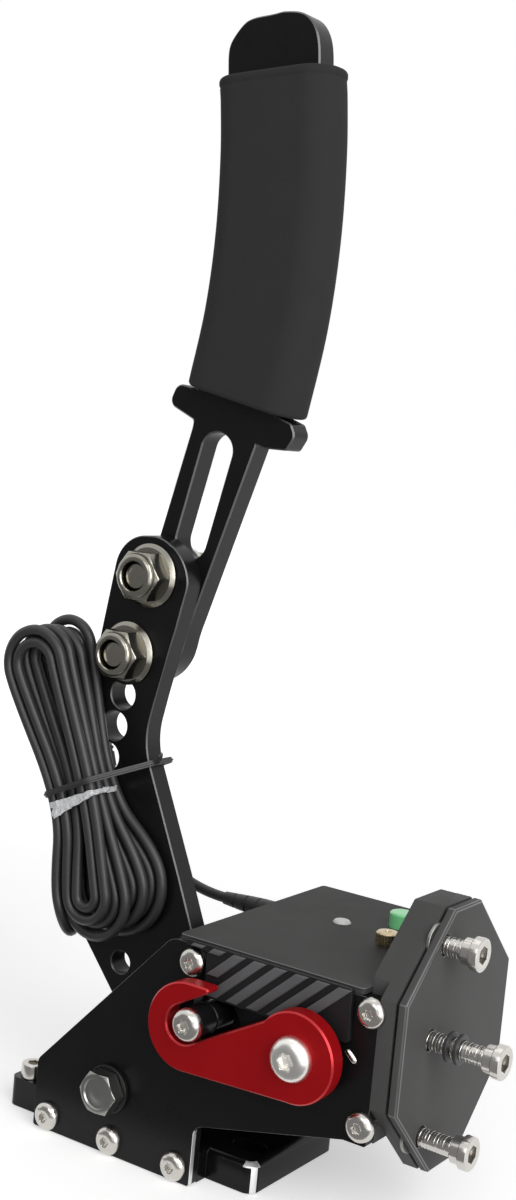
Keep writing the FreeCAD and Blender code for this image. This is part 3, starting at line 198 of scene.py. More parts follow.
# %% Mix the finishes
FINISH = {
    "black_aluminium": finish("deep_black_anodised", (0.0055, 0.0055, 0.0062), 0.0, (0.24, 0.34), 0.22, 0.008,
                              specular=0.2),
    "gloss_black": finish("gloss_black_anodised", (0.004, 0.004, 0.0045), 0.0, (0.16, 0.24), 0.22, 0.004,
                          specular=0.22),
    # painted highlight: chamfer finish, a lighter copy of the black face finish
    "black_edge_highlight": finish("black_chamfer_highlight", (0.1, 0.1, 0.101), 0.4, (0.24, 0.36), 0.3, 0.004, specular=0.3),
    "slate_aluminium": finish("blasted_slate_anodised", (0.066, 0.066, 0.065), 0.0, (0.5, 0.64), 0.16, 0.012,
                              specular=0.1),
    # painted shade: the lid and tray take a darker copy of the slate finish
    "lid_shaded_slate": finish("blasted_slate_shaded", (0.043, 0.043, 0.042), 0.0, (0.52, 0.66), 0.16, 0.012,
                        specular=0.1),
    # painted highlight: bright metal for the lit base corner and the notch edge
    "highlight_aluminium": finish("painted_highlight_metal", (0.8, 0.8, 0.79), 0.75, (0.3, 0.42), 0.3, 0.004, 0.05),
    # painted highlight: chamfer finish, a lighter copy of the slate face finish
    "slate_edge_highlight": finish("slate_chamfer_highlight", (0.15, 0.15, 0.15), 0.4, (0.28, 0.38), 0.3, 0.004, specular=0.3),
    "stainless_steel": finish("bright_steel", (0.6, 0.58, 0.545), 1.0, (0.15, 0.27), 0.5, 0.004, 0.08,
                              stretch=(1, 1, 3)),
    "nickel": finish("nickel_plate", (0.3, 0.288, 0.25), 1.0, (0.14, 0.26), 0.6, 0.006, 0.12),
    "zinc": finish("dull_zinc", (0.3, 0.3, 0.285), 1.0, (0.26, 0.4), 0.4, 0.008, 0.25),
    "dark_zinc": finish("black_passivated_zinc", (0.035, 0.035, 0.036), 0.8, (0.3, 0.45), 0.4, 0.008, 0.25),
    "satin_steel": finish("satin_steel", (0.86, 0.84, 0.8), 1.0, (0.26, 0.38), 0.5, 0.004, 0.08),
    "red_aluminium": finish("red_anodised", (0.34, 0.004, 0.0065), 0.3, (0.32, 0.44), 0.2, 0.008, 0.08,
                            specular=0.12),
    # painted highlight: chamfer finish, a lighter copy of the red face finish
    "red_edge_highlight": finish("red_chamfer_highlight", (0.5, 0.03, 0.035), 0.5, (0.24, 0.32), 0.3, 0.004, 0.05, specular=0.3),
    "bronze": finish("sintered_bronze", (0.34, 0.2, 0.09), 0.9, (0.4, 0.55), 0.25, 0.015),
    "brass": finish("turned_brass", (0.56, 0.46, 0.29), 1.0, (0.2, 0.34), 0.4, 0.006),
    "magnet": finish("magnet_nickel", (0.35, 0.35, 0.36), 1.0, (0.2, 0.3), 0.5, 0.004),
    "dark_foam": finish("foam_rubber", (0.029, 0.029, 0.029), 0.0, (0.84, 0.96), 0.35, 0.05, 0.1,
                        specular=0.08, sheen=0.03, pores=0.55),
    "black_rubber": finish("cable_jacket", (0.024, 0.024, 0.0243), 0.0, (0.36, 0.5), 0.3, 0.01, 0.15),
    "black_plastic": finish("moulded_black_plastic", (0.012, 0.012, 0.013), 0.0, (0.38, 0.5), 0.25, 0.02,
                            specular=0.25),
    "grey_plastic": finish("ribbed_grey_plastic", (0.092, 0.093, 0.097), 0.0, (0.34, 0.48), 0.3, 0.015,
                           specular=0.3),
    "clear_plastic": finish("clear_film", (0.78, 0.79, 0.8), 0.0, (0.08, 0.2), 0.6, 0.08, 0.25,
                            transmission=0.3),
    "green_plastic": finish("green_button_plastic", (0.24, 0.78, 0.34), 0.0, (0.2, 0.3), 0.5, 0.006, 0.06,
                            coat=0.3),
    "white_plastic": finish("frosted_lens", (0.8, 0.8, 0.78), 0.0, (0.25, 0.35), 0.4, 0.006, 0.03,
                            transmission=0.25),
    "board": finish("solder_mask", (0.01, 0.09, 0.035), 0.0, (0.25, 0.4), 0.35, 0.01, 0.2),
}
print(len(FINISH), "finishes")

# %% Finish the CAD nodes that show as they are
NODE_FINISH = {
    "black_aluminium": "rest_stop plunger pivot_spacers spring_seat",
    "stainless_steel": "lever_washers sensor_shaft",
    "zinc": "plate_washers",
    "dark_zinc": "pivot_washers",
    "bronze": "pivot_bush sensor_bush",
    "brass": "lid_pillar",
    "magnet": "sensor_magnet",
    "black_rubber": "cable_gland preload_rings",
    "black_plastic": "sensor_body board_parts push_switch",
    "grey_plastic": "board_spacers",
    "green_plastic": "green_button",
    "white_plastic": "status_light",
    "board": "circuit_board",
}
dressed = set()
for finish_name, members in NODE_FINISH.items():
    for member in members.split():
        materials = NODES[member].data.materials
        materials.clear()
        materials.append(FINISH[finish_name])
        dressed.add(member)
print("nodes left to finer pieces:", sorted(set(NODES) - dressed))

# %% [markdown]
# ## The cable
# Two metres of thin cable leave the housing through a strain relief, run round the back of
# the lever and are folded into a hank that is tied to the lever. A cable is limp and smooth,
# so it is one spline from the exit to the plug. A spline of order 3 touches the middle of
# each leg between its points. Four corners round each fold, at equal distances, therefore
# put the spline on a half circle, and one point at the waist draws the strands together.

# %% Cable route: the frame of the hank
LEAN = math.radians(18.3)
UPWARD = Vector((-math.sin(LEAN), 0, math.cos(LEAN)))
SIDEWAYS = Vector((math.cos(LEAN), 0, math.sin(LEAN)))
HANK_MIDDLE = Vector((-44.6, 0, 110.8))
EIGHTH = math.radians(22.5)


def hank_point(side, rise, depth):
    return HANK_MIDDLE + SIDEWAYS * side + UPWARD * rise + Vector((0, depth, 0))


def fold(start, end, outward):
    """Six points round a half turn: one on the run at each end and four corners round the circle."""
    middle = (start + end) / 2
    spoke = (start - middle).normalized()
    radius = (start - middle).length
    lead_in = outward * (radius * math.tan(EIGHTH))
    corners = []
    for step in range(4):
        angle = EIGHTH * (2 * step + 1)
        corners.append(middle + (spoke * math.cos(angle) + outward * math.sin(angle)) * (
            radius / math.cos(EIGHTH)))
    return [start - lead_in] + corners + [end - lead_in]


# %% Cable route: the hank's own points
TOP_END, LOW_END, WAIST = 43.5, -37.0, -6.0
LEFT_PINCH, RIGHT_PINCH = 5.0, 2.0
LAYERS = [-18.9, -14.7, -10.5, -6.3]
TOP_SHIFT = [0, 0.5, 2, 3.6]
TOP_RISE = [0.0, 1.8, -0.6, 4.2]
LOW_RISE = [0.0, -1.6, 1.2, 2.6]
LEFT_SHIFT = [5, 5, 5, 6]
RIGHT_SHIFT = [2, 7, 12, 17]
WIDTHS = [4.6, 6.75, 8.9, 11.05, 13.2]
FIRST_TURN_RAISED = 5


def top_place(side, layer):
    return hank_point(side + TOP_SHIFT[layer], TOP_END + TOP_RISE[layer], LAYERS[layer])


def low_place(side, layer, shifts):
    return hank_point(side + shifts[layer], LOW_END + LOW_RISE[layer], LAYERS[layer])


def up_waist(offset, layer, next_layer):
    return hank_point(-offset + LEFT_PINCH, WAIST, (LAYERS[layer] + LAYERS[next_layer]) / 2)


def down_waist(offset, layer):
    """The waist point of a right-hand strand, raised on the outer strands to keep them side by side."""
    slant = math.atan((RIGHT_SHIFT[layer] + RIGHT_PINCH) / (WAIST - LOW_END))
    rise = (offset - WIDTHS[0]) * math.tan(slant / 2)
    return hank_point(offset - RIGHT_PINCH, WAIST + rise, LAYERS[layer])


hank_start = low_place(-WIDTHS[4], 0, LEFT_SHIFT) + UPWARD * FIRST_TURN_RAISED
hank_points = [up_waist(WIDTHS[4], 0, 0)]
strand_top = top_place(-WIDTHS[4], 0)
for layer in range(4):
    order = [3, 2, 1, 0] if layer % 2 == 0 else [1, 2, 3, 4]
    for number in range(2):
        down = WIDTHS[order[2 * number]]
        rising = WIDTHS[order[2 * number + 1]]
        next_layer = min(layer + number, 3)
        hank_points += fold(strand_top, top_place(down, layer), UPWARD) + [down_waist(down, layer)]
        low, goal = low_place(down, layer, RIGHT_SHIFT), low_place(-rising, layer, LEFT_SHIFT)
        hank_points += fold(low, goal, -UPWARD) + [up_waist(rising, layer, next_layer)]
        strand_top = top_place(-rising, next_layer)
PLUG_SIDE, PLUG_DEPTH, PLUG_TOP = -5.5, 9.5, 28
hank_points += fold(strand_top, hank_point(PLUG_SIDE, TOP_END, PLUG_DEPTH), UPWARD)
hank_points.append(hank_point(PLUG_SIDE, PLUG_TOP, PLUG_DEPTH))
print(len(hank_points), "points in the hank")

# %% Cable route: the lead from the strain relief
TURN_RADIUS = 12.5
aside = Vector((-12, 22, 0))
aside = (aside - UPWARD * aside.dot(UPWARD)).normalized()
turn_end = hank_start - UPWARD * (TURN_RADIUS * math.tan(EIGHTH))
turn_start = turn_end + aside * (2 * TURN_RADIUS)
CABLE_EXIT = Vector((-1, 25, 74.8))
lead_points = [CABLE_EXIT, Vector((-12, 25, 74.8)), Vector((-28, 20.5, 84)), Vector((-43, 14.5, 89.5)),
               Vector((-53, 6, 81))]
lead_points += fold(turn_start, turn_end, -UPWARD)[1:]
TIE_LEVEL, TIE_REACH = -3, 19
TIE_SIDE, TIE_DEPTH = 1, -12.6
DRAWN_ASIDE, DRAWN_IN, DRAWN_TURN = 5.6, 0.11, 0.3


def waisted(place):
    """The hank drawn in by its tie: towards its middle, and a little to the lever's side."""
    offset = place - HANK_MIDDLE
    rise, side = offset.dot(UPWARD), offset.dot(SIDEWAYS)
    near_tie = math.exp(-((rise - TIE_LEVEL) / TIE_REACH) ** 2)
    drawn = DRAWN_ASIDE - DRAWN_IN * (side - TIE_SIDE) - DRAWN_TURN * (place.y - TIE_DEPTH)
    return place + SIDEWAYS * (near_tie * drawn)


cable_points = lead_points + [waisted(place) for place in hank_points]
print(len(lead_points), "points in the lead")

# %% Cable spline and jacket
CABLE_DIAMETER, LINE_STEP = 3.7, 0.1
route = bpy.data.curves.new("usb_cable_route", "CURVE")
route.dimensions = "3D"
route.resolution_u = 10
spline = route.splines.new("NURBS")
spline.points.add(len(cable_points) - 1)
for point, place in zip(spline.points, cable_points):
    point.co = (*(place * MM), 1)
spline.order_u = 3
spline.use_endpoint_u = True
route_object = linked("usb_cable_route", route)


def mesh_of(item):
    """The evaluated mesh of a curve or of an object with modifiers."""
    graph = bpy.context.evaluated_depsgraph_get()
    graph.update()
    return bpy.data.meshes.new_from_object(item.evaluated_get(graph))


cable_line = []
for vert in mesh_of(route_object).vertices:
    if not cable_line or (vert.co - cable_line[-1]).length > LINE_STEP * MM:
        cable_line.append(vert.co.copy())
route.bevel_depth = CABLE_DIAMETER / 2 * MM
route.bevel_resolution = 4
route.use_fill_caps = True
jacket = mesh_of(route_object)
bpy.data.objects.remove(route_object)


# %% [markdown]
# ## Helpers for meshes
# Most turned and moulded pieces are a loft: rings of points, with faces between one ring and
# the next. A ring may be a circle, a hexagon or a rounded rectangle, so one helper serves
# screws, the plug and the grip. Smooth shading with sharp edges kept by angle makes a few
# points look round and leaves machined corners crisp. Most finished pieces get their finishes,
# are hung on the empty of the body that carries them, and hide the CAD nodes they stand for.

# %% Mesh helpers


def piece(name, mesh, finish_names, smooth_angle=30):
    """A linked object with its finishes, smooth but for edges sharper than the angle."""
    item = linked(name, mesh)
    if len(mesh.materials):
        mesh.materials.clear()
    for finish_name in finish_names:
        mesh.materials.append(FINISH[finish_name])
    mesh.shade_smooth()
    mesh.set_sharp_from_angle(angle=math.radians(smooth_angle))
    return item


def loft(bm, rings, joined=False):
    """Faces between rings of equal length, with end faces or the last ring joined to the first."""
    made = [[bm.verts.new(place) for place in ring] for ring in rings]
    for low, high in zip(made, made[1:] + made[:1] if joined else made[1:]):
        for step in range(len(low)):
            after = (step + 1) % len(low)
            bm.faces.new((low[step], low[after], high[after], high[step]))
    if not joined:
        bm.faces.new(made[0][::-1])
        bm.faces.new(made[-1])


def to_mesh(bm, name, outward=True):
    if outward:
        bmesh.ops.recalc_face_normals(bm, faces=bm.faces)
    mesh = bpy.data.meshes.new(name)
    bm.to_mesh(mesh)
    bm.free()
    return mesh


def loft_mesh(name, rings, joined=False):
    bm = bmesh.new()
    loft(bm, rings, joined)
    return to_mesh(bm, name)


def lofted(name, rings, finish_name, smooth_angle=30, joined=False):
    return piece(name, loft_mesh(name, rings, joined), [finish_name], smooth_angle)


def settle(item, body, slot_name, *nodes):
    """Hang a piece on its body's empty and hide the CAD nodes that it replaces. slot_name is not used."""
    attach(item, body)
    if nodes:
        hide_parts(*nodes)
    print(item.name, "faces", len(item.data.polygons))


def around(count):
    """Angles at equal steps round a full turn."""
    return [2 * math.pi * step / count for step in range(count)]


# %% Cable piece
cable = piece("usb_cable", jacket, ["black_rubber"], 60)
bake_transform(cable)
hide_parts("cable_hank", "cable_lead")

# %% [markdown]
# ## Machined plates with real chamfers
# A milled plate has a small chamfer on every edge, and this thin slope catches the light as
# a bright line. The CAD solids have sharp edges there. A copy of the CAD mesh is joined at
# its doubled points, its flat areas are merged, and a bevel of 0.25 to 0.5 millimetres runs
# along every sharp edge. The slopes get their own lighter finish, a painted highlight that
# strengthens that bright line.

# %% Chamfered copies
DOUBLES, SHORT_STEP = 0.002, 0.2
FLAT_ANGLE, SMOOTH_ANGLE, SHARP_ANGLE = 0.5, 24, 35


def bevel(bm, edges, width, segments=1, material=0):
    """A chamfer of a width in mm along the edges, or a round with more than one segment."""
    bmesh.ops.bevel(bm, geom=edges, offset=width * MM, offset_type="OFFSET", segments=segments,
                    profile=0.5, affect="EDGES", clamp_overlap=True, material=material)


def angle_over(edge, degrees):
    """Whether the two faces at an edge meet at more than an angle."""
    return len(edge.link_faces) == 2 and edge.calc_face_angle(0) > math.radians(degrees)


def chamfered(node, width, finish_names, slot_name="black_aluminium", before=None, after=None):
    """A copy of a CAD node with chamfers of a width in mm, which then stands for the node.
    The functions before and after may reshape the copy on either side of the bevel. The very
    short steps that before leaves are merged, because they would narrow all the chamfers."""
    bm = bmesh.new()
    bm.from_mesh(NODES[node].data)
    bmesh.ops.remove_doubles(bm, verts=bm.verts, dist=DOUBLES * MM)
    bmesh.ops.dissolve_limit(bm, angle_limit=math.radians(FLAT_ANGLE), verts=bm.verts, edges=bm.edges)
    if before:
        before(bm)
        bmesh.ops.remove_doubles(bm, verts=bm.verts, dist=SHORT_STEP * MM)
    # material=1 gives the chamfers their lighter finish, a painted highlight
    bevel(bm, [edge for edge in bm.edges if angle_over(edge, SHARP_ANGLE)], width, material=1)
    if after:
        after(bm)
    mesh = to_mesh(bm, node + "_chamfered", False)
    if "custom_normal" in mesh.attributes:
        mesh.attributes.remove(mesh.attributes["custom_normal"])
    item = piece(node + "_finished", mesh, finish_names, SMOOTH_ANGLE)
    settle(item, BODY_OF[node], slot_name, node)
    return item


def cut_across(bm, place, direction):
    """Part every face that a plane crosses, with the plane's place in mm."""
    bmesh.ops.bisect_plane(bm, geom=bm.verts[:] + bm.edges[:] + bm.faces[:], dist=0.001 * MM,
                           plane_co=[x * MM for x in place], plane_no=direction)


# %% [markdown]
# ## Where the photograph and the solids differ a little
# The handle bar's top is one soft outline, its guard is shorter and its lower end rounder
# than in the solids, and the arm's front edge is fuller between the bolts. Moving the points
# of the copies is enough for these few millimetres.

# %% Handle bar and arm
OUTLINE_FROM, TOP_FROM, SOFT_FROM, SOFT_OVER = 350, 351, 354, 8
OUTLINE_STEP, EVENINGS = 1.2, 26
CROWN_FROM, CROWN_MIDDLE, CROWN_HALF, CROWN_DROP = 365, -4, 7, 0.8
GUARD_ROOT, GUARD_LENGTH, GUARD_FITTED, GUARD_LOW, GUARD_HIGH = 12.5, 17.6, 10.4, 228, 247
SINK_AT_ROOT, SINK_MORE, SINK_FROM, SINK_OVER = 0.9, 0.5, 234, 8
END_X, END_Z, END_RADIUS, END_BELOW, END_REACH = -31.5, 166.5, 18.1, 149, 17
CORNER_X, CORNER_Z, CORNER_FROM, CORNER_BELOW = -23.8, 156.6, -24.5, 157
CORNER_TURN, CORNER_SHARE = -0.3, 0.52
LOW_EDGE_FROM, LOW_EDGE_BELOW, LOW_EDGE_SLOPE = -14, 172, 0.06
ARM_EDGE_LENGTH, ARM_EDGE_ANGLE, ARM_EDGE_CUTS = 6, 20, 7
ARM_EDGE_FROM, ARM_EDGE_LOW, ARM_EDGE_HIGH = -24, 120, 202
FULL_FROM, FULL_LOW, FULL_HIGH, FULL_RISE, FULL_FALL, FULL_OUT = -17, 150, 200, 34, 14, 2.9


def limited(share):
    """A share that is kept between 0 and 1."""
    return min(1, max(0, share))


def in_one_plane(edge):
    """Whether an edge runs along a side of the plate and not through its thickness."""
    return abs(edge.verts[0].co.y - edge.verts[1].co.y) < 0.01 * MM


def on_top_outline(edge):
    rim = any(abs(face.normal.y) < 0.5 for face in edge.link_faces)
    high = all(vert.co.z > OUTLINE_FROM * MM for vert in edge.verts)
    return rim and len(edge.link_faces) == 2 and high and in_one_plane(edge)


def rounder_top(bm):
    """Give the top of the handle bar one soft outline: short steps along it, evened out many times."""
    cut_across(bm, (0, 0, TOP_FROM), (0, 0, 1))
    groups = {}
    for edge in filter(on_top_outline, bm.edges):
        groups.setdefault(round(edge.calc_length() / (OUTLINE_STEP * MM)), []).append(edge)
    for cuts, edges in groups.items():
        if cuts > 1:
            bmesh.ops.subdivide_edges(bm, edges=edges, cuts=cuts - 1)
    near = {}
    for edge in filter(on_top_outline, bm.edges):
        for vert in edge.verts:
            near.setdefault(vert, []).append(edge.other_vert(vert))
    for turn in range(EVENINGS):
        goals = {vert: (others[0].co + others[1].co) / 2 for vert, others in near.items() if len(others) == 2}
        for vert, goal in goals.items():
            share = limited((vert.co.z - SOFT_FROM * MM) / (SOFT_OVER * MM))
            vert.co = vert.co.lerp(goal, 0.5 * share)
    for vert in near:
        if vert.co.z > CROWN_FROM * MM:
            away = (vert.co.x / MM - CROWN_MIDDLE) / CROWN_HALF
            vert.co.z -= CROWN_DROP * MM * max(0, 1 - away ** 2)
    print("handle top outline points", len(near))


def fitted_bar(bm):
    """The bar as photographed: a shorter guard tip that slopes down, a higher lower end, a soft top."""
    for vert in bm.verts:
        x, z = vert.co.x / MM, vert.co.z / MM
        if x > GUARD_ROOT and GUARD_LOW < z < GUARD_HIGH:
            share = (x - GUARD_ROOT) / GUARD_LENGTH
            x = GUARD_ROOT + GUARD_FITTED * share
            z -= (SINK_AT_ROOT + SINK_MORE * share) * limited((z - SINK_FROM) / SINK_OVER)
        elif x > CORNER_FROM and z < CORNER_BELOW:
            turn = CORNER_TURN + CORNER_SHARE * math.atan2(z - CORNER_Z, x - CORNER_X)
            x, z = END_X + END_RADIUS * math.cos(turn), END_Z + END_RADIUS * math.sin(turn)
        elif z < END_BELOW:
            z = max(z, END_Z - math.sqrt(END_RADIUS ** 2 - min(END_REACH, x - END_X) ** 2))
        elif x > LOW_EDGE_FROM and z < LOW_EDGE_BELOW:
            x -= LOW_EDGE_SLOPE * (LOW_EDGE_BELOW - z)
        vert.co.x, vert.co.z = x * MM, z * MM
    rounder_top(bm)


def on_arm_front(edge):
    in_front = all(vert.co.x > ARM_EDGE_FROM * MM and ARM_EDGE_LOW * MM < vert.co.z < ARM_EDGE_HIGH * MM
                   for vert in edge.verts)
    long = edge.calc_length() > ARM_EDGE_LENGTH * MM
    return in_front and long and angle_over(edge, ARM_EDGE_ANGLE) and in_one_plane(edge)


def fuller_arm(bm):
    """The lower arm with its front edge a little fuller between the two bolts."""
    bmesh.ops.subdivide_edges(bm, edges=list(filter(on_arm_front, bm.edges)), cuts=ARM_EDGE_CUTS)
    for vert in bm.verts:
        z = vert.co.z / MM
        if vert.co.x > FULL_FROM * MM and FULL_LOW < z < FULL_HIGH:
            below, above = limited((z - FULL_LOW) / FULL_RISE), limited((FULL_HIGH - z) / FULL_FALL)
            vert.co.x += FULL_OUT * below ** 2 * above * MM


# %% Chamfered pieces
# the second finish of each pair goes on the chamfers, as a painted highlight
BLACK = ["black_aluminium", "black_edge_highlight"]
GLOSS = ["gloss_black", "gloss_black"]
SLATE = ["slate_aluminium", "slate_edge_highlight"]
LID = ["lid_shaded_slate", "slate_edge_highlight"]
RED = ["red_aluminium", "red_edge_highlight"]
# the side plate's rim is parted here, for a strip of painted highlight
HIGHLIGHT_STRIP_TO = -32.3


def parted(bm):
    """Part the rim of a side plate lengthways, for a narrow strip of painted highlight."""
    cut_across(bm, (0, HIGHLIGHT_STRIP_TO, 0), (0, 1, 0))


for node, width, names in (
        ("right_side_plate", 0.4, BLACK), ("front_flange", 0.35, SLATE), ("adjuster_plate", 0.25, SLATE),
        ("housing_lid", 0.3, LID), ("electronics_tray", 0.3, LID)):
    chamfered(node, width, names)
chamfered("sensor_arm", 0.5, RED, "red_aluminium")
chamfered("handle_bar", 0.5, BLACK, before=fitted_bar)
chamfered("lower_arm", 0.5, BLACK, after=fuller_arm)
left_plate = chamfered("left_side_plate", 0.4, BLACK, after=parted)
base = chamfered("base_plate", 0.5, GLOSS)

# %% [markdown]
# ## Painted highlights at two edges
# The base's front corner and the notch of the left side plate get a bright metal finish as a
# painted highlight, so that both show as bright lines.

# %% Painted edge highlights
FAR = 1000
CORNER_UPRIGHT = ((51.2, FAR), (-24.6, -22.2), (-FAR, FAR))
CORNER_RIM = ((48.2, FAR), (-FAR, -21.2), (8.4, 10))
NOTCH_STRIP = ((30, 36), (-FAR, HIGHLIGHT_STRIP_TO), (-FAR, 18.5))


def inside(spot, box):
    """Whether a place in mm lies in a box, which has (low, high) for x, y and z."""
    return all(low < value < high for value, (low, high) in zip(spot, box))


def paint_highlight(item, chosen):
    """Give the chosen faces of a dressed plate a bright metal finish as a painted highlight; chosen takes a
    centre in mm and a normal.
    """
    item.data.materials.append(FINISH["highlight_aluminium"])
    count = 0
    for face in item.data.polygons:
        if chosen(face.center / MM, face.normal):
            face.material_index = 2
            count += 1
    print(item.name, "bare faces", count)


def in_corner_highlight(spot, normal):
    return inside(spot, CORNER_UPRIGHT) or inside(spot, CORNER_RIM)


def in_notch_highlight(spot, normal):
    return normal.x > 0.3 and normal.z > -0.5 and inside(spot, NOTCH_STRIP)


paint_highlight(base, in_corner_highlight)
paint_highlight(left_plate, in_notch_highlight)

# %% [markdown]
# ## The ribbed side panel
# The moulded panel beside the housing has slanting ribs with round crests. The crests catch
# the light and the grooves between them stay dark. The crest edges of the CAD copy are
# rounded by a wide bevel, and the faces down in the grooves get the darker black plastic as
# painted shade.

# %% Ribbed panel piece
crest = min(vert.co.y for vert in NODES["ribbed_side_panel"].data.vertices)
CREST_ROUND, CREST_SEGMENTS, SHADED_GROOVE_FROM = 0.85, 5, 0.8


def rounder_crests(bm):
    edges = [edge for edge in bm.edges if len(edge.link_faces) == 2
             and all(abs(vert.co.y - crest) < 0.02 * MM for vert in edge.verts)]
    bevel(bm, edges, CREST_ROUND, CREST_SEGMENTS)


panel = chamfered("ribbed_side_panel", 0.15, ["grey_plastic", "black_plastic"], "grey_plastic",
                  rounder_crests)
# painted shade: faces deeper than the crest take the darker black plastic
for face in panel.data.polygons:
    face.material_index = 0 if face.center.y < crest + SHADED_GROOVE_FROM * MM else 1
print("panel crest at y in mm", round(crest / MM, 1))

# %% [markdown]
# ## Turned fasteners
# Screws, bolts and nuts are turned or forged round an axis, so each is a stack of rings.
# A ring is round, or a hexagon, or the smaller of both: a hexagon cut by a cone gives the
# curved chamfer that every real bolt head and nut has. The same stack, going down inside
# the head, makes the hexagon socket.

# %% Ring stack
SEGMENTS = 72


def hexagon_reach(flats, angle):
    """Distance from the middle to the side of a hexagon, in the direction of the angle."""
    return flats / 2 / math.cos(angle % (math.pi / 3) - math.pi / 6)


def ring(height, radius=None, flats=None):
    places = []
    for angle in around(SEGMENTS):
        reach = min(radius or 1000, hexagon_reach(flats, angle) if flats else 1000)
        places.append(Vector((reach * math.cos(angle), reach * math.sin(angle), height)) * MM)
    return places


def stack(*sizes):
    """Rings from (height, radius) or (height, radius, flats)."""
    return [ring(*size) for size in sizes]


def socket_rings(flats, top, depth):
    """A hexagon socket with a countersunk rim, from the top of the head down."""
    return stack((top, flats / 2 / math.cos(math.pi / 6) + 0.12), (top - 0.16, None, flats),
                 (top - depth, None, flats), (top - depth - 0.3, flats * 0.3))


def shank_rings(radius, length):
    """A plain shank with a domed end, from the end up."""
    return stack((-length - 0.45, radius * 0.3), (-length - 0.3, radius * 0.6), (-length, radius * 0.85),
                 (-length + radius * 0.25, radius), (0, radius))


# %% Screw heads
DOME_STEPS, DOME_FROM = 8, 0.35
CONE_STEPS, CONE_INNER = 5, 0.96


def button_screw(radius, length, head, height, flats, depth):
    """A domed head with a hexagon socket, on the XY plane, with its shank below."""
    flat = flats / 2 / math.cos(math.pi / 6) + 0.45
    rings = shank_rings(radius, length) + stack((0, head - 0.1), (0.1, head), (DOME_FROM, head))
    for step in range(1, DOME_STEPS + 1):
        turn = math.pi / 2 * step / DOME_STEPS
        rings.append(ring(DOME_FROM + (height - DOME_FROM) * math.sin(turn),
                          flat + (head - flat) * math.cos(turn)))
    return rings + socket_rings(flats, height, depth)


def socket_screw(radius, length, head, height, flats, depth, neck=None):
    """A tall round head with a hexagon socket, and a narrower neck under its rim where it has one."""
    rings = shank_rings(radius, length)
    if neck:
        rings += stack((0, neck - 0.2), (0.2, neck), (height - 3, neck), (height - 2.9, head - 0.15),
                       (height - 2.7, head))
    else:
        rings += stack((0, head - 0.15), (0.15, head))
    rings += stack((height - 0.6, head), (height - 0.25, head - 0.1), (height - 0.05, head - 0.4),
                   (height, head - 0.7))
    return rings + socket_rings(flats, height, depth)


def hexagon_rings(low, high, flats, chamfer_low=False):
    """The sides of a hexagon whose corners are cut by a 30 degree cone at the top."""
    corner = flats / math.sqrt(3)
    inner = flats / 2 * CONE_INNER
    fall = (corner - inner) * math.tan(math.radians(30))
    rings = []
    if chamfer_low:
        rings += stack((low, inner, flats), (low + fall, corner, flats))
    for step in range(CONE_STEPS + 1):
        share = step / CONE_STEPS
        rings.append(ring(high - fall * (1 - share), corner + (inner - corner) * share, flats))
    return rings


def hexagon_bolt(radius, length, flats, height):
    """A bolt head with a washer face below and a shallow dish on top."""
    face = flats / 2 * 0.95
    return (shank_rings(radius, length) + stack((0, face), (0.3, face), (0.3, None, flats))
            + hexagon_rings(0.3, height, flats)
            + stack((height, flats * 0.4), (height - 0.5, flats * 0.37), (height - 0.5, flats * 0.2),
                    (height - 0.35, flats * 0.17), (height - 0.35, flats * 0.05)))


def lock_nut(bore, flats, height, collar, flange=None):
    """A nut with a domed nylon collar, and a flange where it has one."""
    rings = []
    if flange:
        rings = stack((0, flange - 0.3), (0.3, flange), (0.9, flange), (1.2, flange - 0.3),
                      (2.1, flats * 0.6), (2.2, None, flats))
    crown = flats / 2 - 0.6
    top = height + collar
    return (rings + hexagon_rings(0.0, height, flats, not flange)
            + stack((height, crown), (height + collar * 0.5, crown), (height + collar * 0.85, crown - 0.5),
                    (top, crown - 1.2), (top, bore + 0.3), (top - 0.4, bore), (0, bore)))


# %% [markdown]
# ## Geometry Nodes for threads and for sets of screws
# A thread is a ridge that climbs round the shank, and a spiral curve with a small round
# section makes it. The six base screws are the same screw six times: points say where each
# stands and which way it faces, and one tree puts a copy on every point. Both trees end in
# Realize Instances and Set Material, and the result is turned into a plain mesh.

# %% Tree helpers


def new_tree(name, sockets):
    """A Geometry Nodes tree with named inputs, and the outputs of its input node."""
    tree = bpy.data.node_groups.new(name, "GeometryNodeTree")
    for title, kind in {"Geometry": "Geometry", **sockets, "Material": "Material"}.items():
        tree.interface.new_socket(title, in_out="INPUT", socket_type="NodeSocket" + kind)
    tree.interface.new_socket("Geometry", in_out="OUTPUT", socket_type="NodeSocketGeometry")
    return tree, tree.nodes.new("NodeGroupInput").outputs


def end_tree(tree, given, *parts):
    """Join the parts, then close the tree with Realize Instances, Set Material and the output."""
    together = add_node(tree, "GeometryNodeJoinGeometry")
    for part in parts:
        fill(tree, together, {"Geometry": part})
    plain = add_node(tree, "GeometryNodeRealizeInstances", {"Geometry": together.outputs["Geometry"]})
    painted = add_node(tree, "GeometryNodeSetMaterial", {
        "Geometry": plain.outputs["Geometry"], "Material": given["Material"]})
    add_node(tree, "NodeGroupOutput", {"Geometry": painted.outputs["Geometry"]})
    print(tree.name, "tree with", len(tree.nodes), "nodes")


def moved(tree, geometry, height):
    """Geometry moved along Z by the value of a socket."""
    way = add_node(tree, "ShaderNodeCombineXYZ", {"Z": height})
    return add_node(tree, "GeometryNodeTransform", {
        "Geometry": geometry, "Translation": way.outputs["Vector"]}).outputs["Geometry"]


def scaled(tree, value, factor, plus=0.0):
    """A value times a factor, plus another value."""
    return add_node(tree, "ShaderNodeMath", {0: value, 1: factor, 2: plus},
                    operation="MULTIPLY_ADD").outputs[0]


